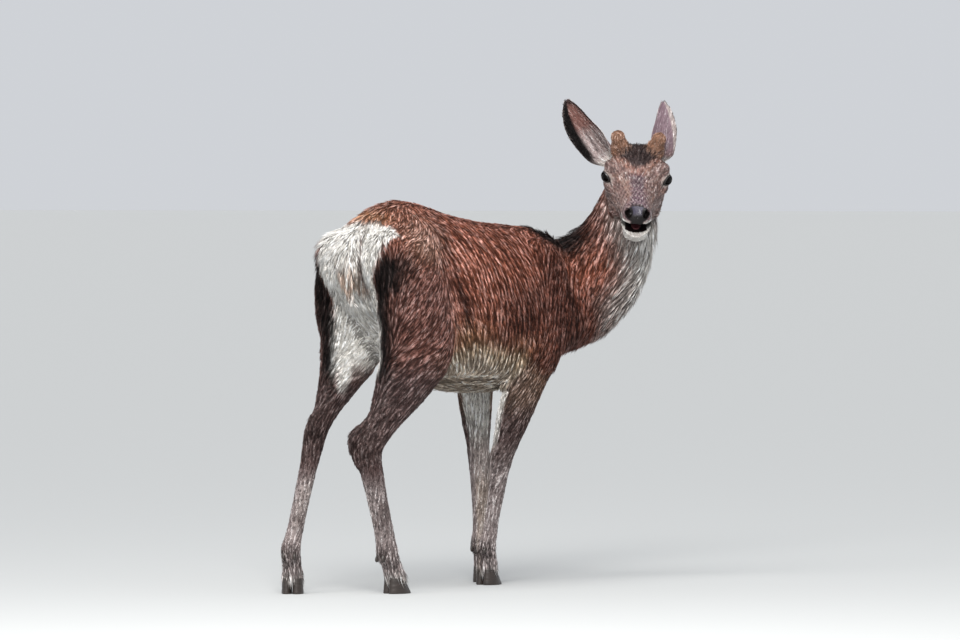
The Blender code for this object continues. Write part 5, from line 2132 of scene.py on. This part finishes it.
@dataclass
class Eyeball:
    """A smooth eye with a clear bulge over its pupil."""

    side: int
    bulge: float = 0.0011
    play: float = 0.0004  # how much smaller it is than its socket
    pupil: tuple = (0.0072, 0.0036)  # half length and half height

    def build(self) -> bpy.types.Object:
        """Makes the eye, its rings square to the way it looks.

        Returns:
            The piece.
        """
        centre, axis, long, short = HEAD.eye_frame(self.side)
        tilt = np.linspace(0, math.pi, 49)[1:-1]
        radius = HEAD.eye_radius - self.play + self.bulge * ease(tilt, 0.62, 0.30)
        size = radius * np.sin(tilt)
        middles = centre + (radius * np.cos(tilt))[:, None] * axis
        shell = Shell.of_rings(ovals(middles, long, short, size, size, size, 1.0, 64), 0.05)
        shell = shell.moved(HEAD.matrix)
        name = "left" if self.side > 0 else "right"
        made = make_object(f"eye_ball_{name}", shell)
        finish_with(made, "eye_ball", "pupil")
        rel = HEAD.local(shell.points) - centre
        inner = np.hypot((rel @ long) / self.pupil[0], (rel @ short) / self.pupil[1]) < 1
        inner &= rel @ axis > 0
        for face, polygon in zip(shell.faces, made.data.polygons):
            polygon.material_index = int(inner[list(face)].mean() > 0.5)
        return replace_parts(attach(made, BODY), f"eye_{name}")


@dataclass
class Hoof:
    """What a claw and a dewclaw share: their leg, and which side of it they are on."""

    leg: Leg
    inner: bool

    def __post_init__(self) -> None:
        """Works out which way is forwards and which way lies away from the leg's middle."""
        self.front = self.leg.ahead()
        self.aside = np.cross(UP, self.front) * self.leg.side * (-1 if self.inner else 1)

    def piece(self, prefix: str, shell: Shell, node: str) -> bpy.types.Object:
        """Makes the horn.

        Args:
            prefix: what its name starts with.
            shell: its skin.
            node: what the name of the solid that it replaces starts with.

        Returns:
            The piece.
        """
        name = f"{self.leg.part.name.lower()}_{'inner' if self.inner else 'outer'}"
        made = make_object(f"{prefix}_{name}", shell)
        finish_with(made, "claw_horn")
        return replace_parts(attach(made, BODY), f"{node}_{name}")


@dataclass
class Claw(Hoof):
    """One half of a cloven hoof, with growth rings and a cleft between it and its twin."""

    length: float = 0.066
    width: float = 0.026
    cleft: float = 0.0016
    height: float = 0.0397

    def build(self) -> bpy.types.Object:
        """Makes the claw: level rings, long to the toe and short to the heel, flat towards the cleft.

        Returns:
            The piece.
        """
        foot = np.array(self.leg.joints[4]) * (1, 1, 0)
        level = np.concatenate([[0.0, 0.015, 0.05], np.linspace(0.1, 1, 24)])[:, None]
        turn = np.linspace(0, 2 * math.pi, 40, endpoint=False)[None]
        c, s = np.cos(turn), np.sin(turn)
        rounded = 1 - 0.05 * ease(level, 0.05, 0.0) - 0.012 * np.sin(level * 70) ** 2 * (s > -0.4)
        along = np.where(c > 0, (0.66 - 0.30 * level) * c, (0.36 - 0.05 * level) * c) * self.length * rounded
        narrow = 1 - 0.55 * np.maximum(c, 0) ** 2
        wide = self.width * (1 - 0.06 * level) * rounded * 0.5 * (1 + s) * narrow
        across = self.cleft + wide + 0.06 * along
        rings = foot + self.front * (along + 0.002)[..., None] + self.aside * across[..., None]
        return self.piece("hoof", Shell.stacked(rings + UP * (level * self.height)[..., None]), "claw")


@dataclass
class Dewclaw(Hoof):
    """A small horn behind the fetlock."""

    radii: tuple = (0.006014, 0.004811, 0.010224)
    back: float = 0.0225
    apart: float = 0.0135
    drop: float = 0.016
    tilt: float = 22.0  # degrees

    def build(self) -> bpy.types.Object:
        """Makes the dewclaw.

        Returns:
            The piece.
        """
        centre = np.array(self.leg.joints[3]) - self.front * self.back - UP * self.drop
        centre = centre + self.aside * self.apart
        turn = Matrix.Rotation(math.atan2(self.front[1], self.front[0]), 3, "Z")
        turn = turn @ Matrix.Rotation(math.radians(self.tilt), 3, "Y")
        return self.piece("dew", Shell.ball(centre, self.radii, np.array(turn), 24), "dewclaw")


@dataclass
class MouthParts:
    """The tongue and the lower front teeth."""

    tongue: tuple = (  # x, height from the lips' level, half width, half thickness
        (0.112, -0.0145, 0.0100, 0.0022), (0.128, -0.0149, 0.0120, 0.0030), (0.145, -0.0153, 0.0122, 0.0032),
        (0.158, -0.0157, 0.0110, 0.0030), (0.167, -0.0161, 0.0075, 0.0022),
    )
    teeth: int = 8
    tooth: tuple = (0.0022, 0.0013, 0.0036)  # half width, half thickness, half height
    arch: tuple = (0.156, -0.0300, 0.0145, 0.0165)  # middle's x and height, reach forwards, half width
    arch_angle: float = 1.15  # radians from its middle to the last tooth
    lean: float = -28.0  # degrees

    def build(self) -> list:
        """Makes the tongue and the row of teeth."""
        return [self.build_tongue(), self.build_teeth()]

    def build_tongue(self) -> bpy.types.Object:
        """Makes the tongue, a flat rod with a groove along its top.

        Returns:
            The piece.
        """
        x, z, half, high = smooth_rows(self.tongue, 5).T
        z = z + HEAD.mouth_level
        rings = ovals(np.stack([x, 0 * x, z], -1), LEFT, UP, half, high, high, 0.9, 40)
        rings[..., 2] -= bell(rings[..., 1], 0.0022) * (rings[..., 2] > z[:, None]) * 0.0009
        made = make_object("tongue_soft", Shell.of_rings(rings, 0.7).moved(HEAD.matrix))
        finish_with(made, "tongue")
        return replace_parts(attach(made, BODY), "tongue")

    def build_teeth(self) -> bpy.types.Object:
        """Makes the teeth, along an arch.

        Returns:
            The piece.
        """
        row = []
        x, z, reach, half = self.arch
        for angle in np.linspace(-self.arch_angle, self.arch_angle, self.teeth):
            centre = (x + reach * math.cos(angle), half * math.sin(angle), HEAD.mouth_level + z)
            turn = Matrix.Rotation(math.pi / 2 + angle, 3, "Z")
            turn = turn @ Matrix.Rotation(math.radians(self.lean), 3, "X")
            row.append(Shell.ball(centre, self.tooth, np.array(turn), 14))
        made = make_object("lower_teeth", row[0].plus(*row[1:]).moved(HEAD.matrix))
        finish_with(made, "tooth")
        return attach(made, BODY)


class Bare(IntEnum):
    """The finishes of the skin, in the order of its slots."""

    NOWHERE = 0
    LEATHER = 1
    LID = 2
    LINING = 3


class Skin:
    """The one skin of trunk, neck, head, legs, tail, ears and knobs, drawn in by the depth of the coat."""

    FLESH = (
        "trunk", "neck", "head", "tail", "ear_left", "ear_right", "knob_left", "knob_right",
        "thigh_hind_left", "thigh_hind_right", "shank_hind_left", "shank_hind_right",
        "shoulder_fore_left", "shoulder_fore_right", "cannon_fore_left", "cannon_fore_right",
    )
    NOSE_AT, NOSE_RADII = np.array(((0.181, 0, -0.015), (0.023, 0.0345, 0.0205)))  # the bare leather
    BODY_VOXEL, SKULL_VOXEL, FACE_VOXEL = 0.0068, 0.0026, 0.0019
    BODY_STAYS, HEAD_STAYS = 0.72, 0.44  # the share of the faces that stays where the skin is plain

    def __init__(self, coat: Coat) -> None:
        """Fuses, softens and thins the forms, and draws them in by the coat's depth.

        Args:
            coat: gives the depth to draw the flesh in by.
        """
        self.coat = coat
        trunk, neck, tail = Trunk(), Neck(), Tail()
        flesh = trunk.shell().plus(neck.shell(), tail.shell(), *(leg.shell() for leg in LEGS))
        melted = fused(flesh, self.BODY_VOXEL, 6)
        x, y, z = melted.points.T
        joins = ease(z, 0.55, 0.63) * ease(x, 0.46, 0.40)
        joins *= np.maximum(ease(x, -0.08, -0.16), ease(x, 0.08, 0.14))
        joins *= ease(x, -0.49, -0.44) * ease(np.abs(y), 0.05, 0.08)
        hocks = ease(z, 0.29, 0.33) * ease(z, 0.50, 0.45) * ease(x, -0.25, -0.30)
        body = softened(melted, 0.5 * joins + 0.22 * hocks, 22)
        self.body = self.drawn_in(thinned(body, self.BODY_STAYS, z > 0), coat)
        log.info("body: %d faces", len(self.body.faces))
        skull = fused(HEAD.shell().plus(neck.shell(4, -0.007)), self.SKULL_VOXEL, 4)
        share = 0.5 - 0.38 * ease(HEAD.local(skull.points)[:, 0], 0.11, 0.15)
        face = fused(softened(skull, share, 52), self.FACE_VOXEL, 0, HEAD.cutters())
        self.head = self.drawn_in(face, coat)
        self.carve(self.head)
        local = HEAD.local(self.head.points)
        plain = (local[:, 0] < 0.085) & (HEAD.eye_measure(local) > 1.8)
        self.head = thinned(self.head, self.HEAD_STAYS, plain)
        log.info("head: %d faces", len(self.head.faces))
        tree = tree_of(Shell(HEAD.local(self.head.points), self.head.faces))
        self.lids = [HEAD.lids(tree, side) for side in (1, -1)]
        self.knobs = [Knob(side).shell() for side in (1, -1)]
        self.ears = [ear.shell() for ear in EARS]

    @staticmethod
    def drawn_in(shell: Shell, coat: Coat) -> Shell:
        """The skin moved inwards by the depth of the coat.

        Args:
            shell: the skin.
            coat: gives the depth.

        Returns:
            The new skin.
        """
        normals = vertex_normals(shell)
        depth = coat.sizes(shell.points, normals).depth
        return Shell(shell.points - normals * depth[:, None], shell.faces)

    @staticmethod
    def carve(shell: Shell) -> None:
        """Adds the tear slits, the folds at the mouth's corners, the lip line and the wet nose's edge.

        Args:
            shell: the head, which is changed.
        """
        local = HEAD.local(shell.points)
        normals = vertex_normals(shell) @ HEAD.turn
        for side in (1, -1):
            path = np.array(((0.020, 0.070, -0.004), (0.034, 0.064, -0.011), (0.046, 0.057, -0.020)))
            tear = from_path(local, path * (1, side, 1))
            local -= normals * (0.0030 * bell(tear, 0.0019) - 0.0012 * bell(tear - 0.0042, 0.0016))[:, None]
            corner = ((0.096, 0.034, HEAD.mouth_level + 0.001), (0.108, 0.032, HEAD.mouth_level))
            wing = ((0.157, 0.026, -0.010), (0.150, 0.027, -0.022))
            for path, depth, width in ((corner, 0.0020, 0.0026), (wing, 0.0016, 0.0028)):
                away = from_path(local, np.array(path) * (1, side, 1))
                local -= normals * (depth * bell(away, width))[:, None]
        cleft = from_path(local, ((0.186, 0, -0.020), (0.182, 0, -0.046)))
        local -= normals * (0.0016 * bell(cleft, 0.0016))[:, None]
        shell.points = HEAD.world(local)

    @staticmethod
    def leather(local: Array) -> Array:
        """Where the nose is bare and wet: from 0 to 1, over points of the head's frame.

        Args:
            local: the points.

        Returns:
            The share of leather at each of them.
        """
        x, y, z = local.T
        reach = np.linalg.norm((local - Skin.NOSE_AT) / Skin.NOSE_RADII, axis=1)
        lip = ease(np.abs(y), 0.0150, 0.0125) * ease(x, 0.160, 0.166) * ease(z, 0.0, -0.01)
        lip *= ease(z, HEAD.mouth_level - 0.001, HEAD.mouth_level + 0.002)
        return np.maximum(ease(reach, 1.04, 0.98), lip)

    @staticmethod
    def lining(local: Array, normals: Array) -> Array:
        """Where the mouth's lining shows: points of the head's frame within the gape, behind the lips.

        Args:
            local: the points.
            normals: outward normals in the head's frame.

        Returns:
            True for each point of the lining.
        """
        x, y, z = local.T
        gape = (z < HEAD.mouth_level + 0.012) & (z > HEAD.mouth_level - 0.034) & (x > HEAD.mouth_corner)
        return gape & (np.abs(y) < 0.0290) & (x < 0.170) & (np.abs(normals[:, 2]) > 0.30)

    def bare_face(self, part: Shell, normals: Array, tint: Array, lid: bool) -> tuple[Array, Array]:
        """Lays the nose's leather over the face, darker below, lighter on top with a painted reflection, and
        black in the nostrils as painted shade.

        Args:
            part: the head or a lid.
            normals: its outward normals.
            tint: its colours so far.
            lid: whether it is a lid.

        Returns:
            The new colours, and which finish each point has.
        """
        local = HEAD.local(part.points)
        wet = self.leather(local)
        low = ease(local[:, 2], -0.010, -0.021) * ease(np.abs(local[:, 1]), 0.034, 0.022)
        # black in and round the nostrils: painted shade in the holes
        centre, radii = np.array(HEAD.nostril)
        hole = (local - centre * np.where(local[:, 1:2] > 0, 1, (1, -1, 1))) / radii
        low = np.maximum(low, ease(np.linalg.norm(hole, axis=1), 1.7, 1.15))[:, None]
        tint = np.where((wet > 0.3)[:, None], Markings.NOSE + (Markings.BLACK - Markings.NOSE) * low, tint)
        found = np.where(wet > 0.5, Bare.LEATHER, Bare.NOWHERE)
        if lid:
            return tint, np.where(HEAD.eye_measure(local) < 1.16, Bare.LID, found)
        return tint, np.where(self.lining(local, normals @ HEAD.turn), Bare.LINING, found)

    def build(self, markings: Markings, dresses: list[EarDress]) -> bpy.types.Object:
        """Joins the skin into one object and gives it its colours, its finishes and the map Lie.

        Args:
            markings: the colours of the body.
            dresses: those of the ears.

        Returns:
            The piece.
        """
        length = self.coat.sizes(self.body.points, vertex_normals(self.body)).length
        # each part's colour is scaled by a share: painted shade under the coat, strongest where the hair is
        # long
        parts = [(self.body, markings.paint, 0.30 + 0.42 * ease(length, 0.019, 0.011))]  # skin, paint, shade
        parts += [(self.head, markings.paint, 0.70), *((lid, markings.paint, 0.8) for lid in self.lids)]
        parts += [(knob, lambda p, n: np.tile(Markings.KNOB, (len(p), 1)), 0.6) for knob in self.knobs]
        parts += [(ear, own.paint, 0.8) for ear, own in zip(self.ears, dresses)]
        whole = self.body.plus(*(part[0] for part in parts[1:]))
        made = make_object("skin", whole)
        tints, found = [], []
        for i, (part, paint, under) in enumerate(parts):
            normals = vertex_normals(part)
            tint, bare = paint(part.points, normals), np.zeros(len(part.points), int)
            if 1 <= i <= 3:
                tint, bare = self.bare_face(part, normals, tint, i > 1)
            # bare leather and lid rims keep their colour; the rest gets the painted shade of the coat
            open_skin = np.isin(bare, (Bare.LEATHER, Bare.LID))
            tints.append(tint * np.where(open_skin, 1.0, under)[:, None])
            found.append(bare)
        store_colour(made.data, np.vstack(tints))
        finish_with(made, "skin", "nose_leather", "lid_rim", "mouth_lining_shade")
        found = np.concatenate(found)
        made.data.polygons.foreach_set("material_index", [int(found[face].min()) for face in whole.faces])
        self.map_strands(made, whole, markings.lie)
        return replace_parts(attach(made, BODY), *self.FLESH)

    @staticmethod
    def map_strands(made: bpy.types.Object, whole: Shell, lie: Lie) -> None:
        """Writes the map Lie: metres round each part and metres along it, face by face.

        Args:
            made: the skin's object.
            whole: its points and faces.
            lie: the parts and their centrelines.
        """
        corners = np.concatenate([np.array(face) for face in whole.faces])
        owner = np.repeat(np.arange(len(whole.faces)), [len(face) for face in whole.faces])
        weight = lie.measure(whole.points)[0].argmax(1)
        first = np.concatenate([[0], np.cumsum([len(face) for face in whole.faces])[:-1]])
        part = weight[corners[first]][owner]
        place = np.zeros((len(corners), 2))
        for k, name in enumerate(lie.parts):
            mine = part == k
            turn, along = lie.unwrap(whole.points, name)
            anchor = turn[corners[first]][owner][mine]
            around = turn[corners[mine]]
            around = anchor + (around - anchor + 0.5) % 1.0 - 0.5
            line = lie.lines[k]
            run = np.linalg.norm(np.diff(line.points, axis=0), axis=1).sum()
            place[mine, 0] = around * 2 * math.pi * line.size.mean()
            place[mine, 1] = along[corners[mine]] * run
        made.data.uv_layers.new(name="Lie").uv.foreach_set("vector", place.ravel())


# ---------------------------------------------------------------- light and camera


def aimed(thing: bpy.types.Object, direction: Vector) -> bpy.types.Object:
    """Turns a lamp or camera to look in a direction.

    Args:
        thing: the lamp or camera.
        direction: which way it looks.

    Returns:
        The same object.
    """
    thing.rotation_mode = "QUATERNION"
    thing.rotation_quaternion = direction.to_track_quat("-Z", "Y")
    return thing


@dataclass
class Studio:
    """A pale floor, soft light and the camera."""

    azimuth: float = -52.0  # degrees
    elevation: float = 1.0
    distance: float = 18.0
    aim: tuple = (0.016, -0.02, 0.68)  # in the animal's frame
    view_width: float = 2.4615385  # metres across the picture at the aim
    sensor: float = 36.0
    sight: float = 2000.0  # how far the camera sees
    floor_reach: float = 400.0
    sky: tuple = (0.92, 0.95, 1.0)
    sky_strength: float = 0.68
    lamp_at: tuple = (-3.6, -2.4, 3.2)
    lamp_looks_at: tuple = (0.0, 0.0, 0.6)
    lamp_size: float = 1.6
    lamp_power: float = 200.0
    lamp_tint: tuple = (1.0, 0.98, 0.95)
    sun_from: tuple = (-1.0, -0.35, 1.5)
    sun_strength: float = 2.6
    sun_width: float = 50.0  # degrees
    sun_tint: tuple = (1.0, 0.985, 0.96)

    def build_floor(self) -> None:
        """Lays the floor."""
        reach = self.floor_reach
        mesh = bpy.data.meshes.new("floor")
        corners = [(-reach, -reach, 0), (reach, -reach, 0), (reach, reach, 0), (-reach, reach, 0)]
        mesh.from_pydata(corners, [], [(0, 1, 2, 3)])
        floor = linked("floor", mesh)
        finish_with(floor, "floor")

    def build_light(self) -> None:
        """Sets the sky, a square lamp and a wide soft sun."""
        world = bpy.data.worlds.new("studio")
        world.use_nodes = True
        sky = world.node_tree.nodes["Background"].inputs
        sky["Color"].default_value = (*self.sky, 1)
        sky["Strength"].default_value = self.sky_strength
        bpy.context.scene.world = world
        key = bpy.data.lights.new("key", "AREA")
        key.shape, key.size, key.energy, key.color = "SQUARE", self.lamp_size, self.lamp_power, self.lamp_tint
        aimed(linked("key", key), Vector(self.lamp_looks_at) - Vector(self.lamp_at)).location = self.lamp_at
        sun = bpy.data.lights.new("soft_sun", "SUN")
        sun.energy, sun.angle, sun.color = self.sun_strength, math.radians(self.sun_width), self.sun_tint
        aimed(linked("soft_sun", sun), -Vector(self.sun_from))

    def build_camera(self) -> None:
        """Sets the camera, its lens from the width of the view at its distance."""
        a, e = math.radians(self.azimuth), math.radians(self.elevation)
        back = Vector((math.sin(a) * math.cos(e), -math.cos(a) * math.cos(e), math.sin(e)))
        camera = aimed(linked("camera", bpy.data.cameras.new("camera")), -back)
        camera.location = Vector(np.array(self.aim) + OFFSET) + back * self.distance
        camera.data.sensor_width = self.sensor
        camera.data.lens = self.sensor * self.distance / self.view_width
        camera.data.clip_end = self.sight
        bpy.context.scene.camera = camera
        bpy.context.scene.view_settings.view_transform = "Standard"

    def build(self) -> None:
        """Sets the floor, the light and the camera."""
        self.build_floor()
        self.build_light()
        self.build_camera()


# ---------------------------------------------------------------- the animal


def find_offset() -> Array:
    """The way from the animal's frame to the model's, found from where the right eye is in both."""
    low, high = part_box("eye_right")
    return (np.array(low) + np.array(high)) / 2 - HEAD.world(np.array(HEAD.eye_at) * (1, -1, 1))


OFFSET = find_offset()
MATERIALS: dict[str, bpy.types.Material] = {}
MOST = 33000  # tufts in one piece, which keep it under 200,000 triangles
BODY_COAT = (
    Pelt("coat_rump", (Part.TRUNK,), MOST, 1, 800, (-9.0, -0.30)),
    Pelt("coat_flank", (Part.TRUNK,), MOST, 2, 800, (-0.30, -0.02)),
    Pelt("coat_chest", (Part.TRUNK,), MOST, 3, 800, (-0.02, 9.0)),
    Pelt("coat_neck", (Part.NECK, Part.HEAD), MOST, 4, 740),
    Pelt("coat_hind_right", (Part.HIND_RIGHT,), MOST, 5, 1050),
    Pelt("coat_hind_left", (Part.HIND_LEFT,), MOST, 10, 1050),
    Pelt("coat_fore_right", (Part.FORE_RIGHT,), MOST, 6, 1050),
    Pelt("coat_fore_left", (Part.FORE_LEFT,), MOST, 11, 1050),
    Pelt("coat_tail", (Part.TAIL,), 6000, 7, 700),
)


@dataclass
class Pelage:
    """Every piece of coat."""

    coat: Coat
    skin: Skin
    dresses: list[EarDress]
    bare_sole: float = 0.037  # the height that the legs' coat ends at
    velvet: tuple = (0.0055, 0.0014, 0.5, 0.2, 1.8)  # the sizes of its tufts

    def on_body(self, pelt: Pelt) -> bpy.types.Object:
        """Grows one piece of the body's coat, outside the head and clear of the soles.

        Args:
            pelt: which piece.

        Returns:
            The piece.
        """
        lie = self.coat.lie
        columns = [lie.parts.index(part) for part in pelt.parts]
        head = tree_of(self.skin.head)

        def choose(points: Array, normals: Array) -> Array:
            """1 where the piece grows, 0 elsewhere.

            Args:
                points: points of the skin.
                normals: outward normals, which it doesn't need.

            Returns:
                The mask.
            """
            mine = np.isin(lie.measure(points)[0].argmax(1), columns) & (points[:, 2] > self.bare_sole)
            mine &= (points[:, 0] >= pelt.span[0]) & (points[:, 0] < pelt.span[1])
            near = np.linalg.norm(points - HEAD.place, axis=1) < 0.30
            mine[near] &= ~inside(points[near], head, -0.001)
            return mine.astype(float)

        return self.coat.grow(pelt, self.skin.body, choose)

    def on_head(self) -> bpy.types.Object:
        """Grows the head's coat.

        Returns:
            The piece.
        """
        body = tree_of(self.skin.body)

        def choose(points: Array, normals: Array) -> Array:
            """0 on the nose, the mouth's lining and the eyes and within the neck, or else 1.

            Args:
                points: points of the skin.
                normals: outward normals.

            Returns:
                The mask.
            """
            local = HEAD.local(points)
            keep = (Skin.leather(local) < 0.4) & ~Skin.lining(local, normals @ HEAD.turn)
            keep &= (HEAD.eye_measure(local) > 1.25) & ~inside(points, body, -0.0005)
            return keep.astype(float)

        pelt = Pelt("coat_head", (Part.HEAD, Part.NECK), MOST, 8, 1000)
        return self.coat.grow(pelt, self.skin.head.plus(*self.skin.lids), choose)

    def on_ear(self, own: EarDress, shell: Shell) -> bpy.types.Object:
        """Grows one ear's coat.

        Args:
            own: its colours and sizes.
            shell: the ear.

        Returns:
            The piece.
        """
        part = own.ear.part
        pelt = Pelt(f"coat_{part.name.lower()}", (part,), 9000, 9, 1000)
        coat = Coat(Lie([own.ear.line()]), self.coat.markings)
        return coat.grow(pelt, shell, None, own.fur, own.paint)

    def on_knob(self, side: int, shell: Shell) -> bpy.types.Object:
        """Grows one knob's velvet.

        Args:
            side: 1 for the left knob, -1 for the right.
            shell: the knob.

        Returns:
            The piece.
        """
        foot, tip = (HEAD.world(np.array(p) * (1, side, 1)) for p in (Knob.foot, Knob.tip))
        path = np.linspace(foot - (tip - foot) * 0.5, tip + (tip - foot) * 0.5, 12)
        line = Line(Part.KNOBS, path, np.full(12, Knob.radius), np.tile(HEAD.turn[:, 0], (12, 1)))
        pelt = Pelt(f"velvet_{'left' if side > 0 else 'right'}", (Part.KNOBS,), 4300, 10, 1500)
        coat = Coat(Lie([line]), self.coat.markings)

        def fur(points: Array, normals: Array) -> Fur:
            """The same everywhere."""
            return Fur(*(np.full(len(points), value) for value in self.velvet))

        def paint(points: Array, normals: Array) -> Array:
            """The knob's colour, uneven."""
            uneven = 1.1 + 0.25 * ripple(points, 200.0, 5) + 0.35 * ripple(points, 800.0, 6)
            return Markings.KNOB * uneven[:, None]

        return coat.grow(pelt, shell, None, fur, paint)

    def build(self) -> list[bpy.types.Object]:
        """Grows all the pieces and gives them their finish.

        Returns:
            The pieces.
        """
        pieces = [self.on_body(pelt) for pelt in BODY_COAT] + [self.on_head()]
        pieces += [self.on_ear(own, shell) for own, shell in zip(self.dresses, self.skin.ears)]
        pieces += [self.on_knob(side, shell) for side, shell in zip((1, -1), self.skin.knobs)]
        for piece in pieces:
            finish_with(piece, "coat")
            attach(piece, BODY)
        return pieces


def main() -> None:
    """Builds the animal and its studio."""
    add_strands()
    add_grain()
    for finish in (SKIN, COAT, NOSE, LID, MOUTH_SHADE, SHADED_TONGUE, TOOTH, EYE_BALL, PUPIL, HORN, FLOOR):
        MATERIALS[finish.name] = finish.material()
    lie = Lie([Trunk().line(), Neck().line(), HEAD.line(), *(leg.line() for leg in LEGS), Tail().line()])
    markings = Markings(lie)
    coat = Coat(lie, markings)
    dresses = [EarDress(EARS[0], -1.0), EarDress(EARS[1], 0.3)]
    skin = Skin(coat)
    pieces = [skin.build(markings, dresses), Eyeball(1).build(), Eyeball(-1).build()]
    for leg in LEGS:
        for inner in (True, False):
            pieces += [Claw(leg, inner).build(), Dewclaw(leg, inner).build()]
    pieces += MouthParts().build()
    pieces += Pelage(coat, skin, dresses).build()
    for piece in pieces:
        log.info("%s: %d faces", piece.name, len(piece.data.polygons))
    Studio().build()


if __name__ == "__main__":
    main()
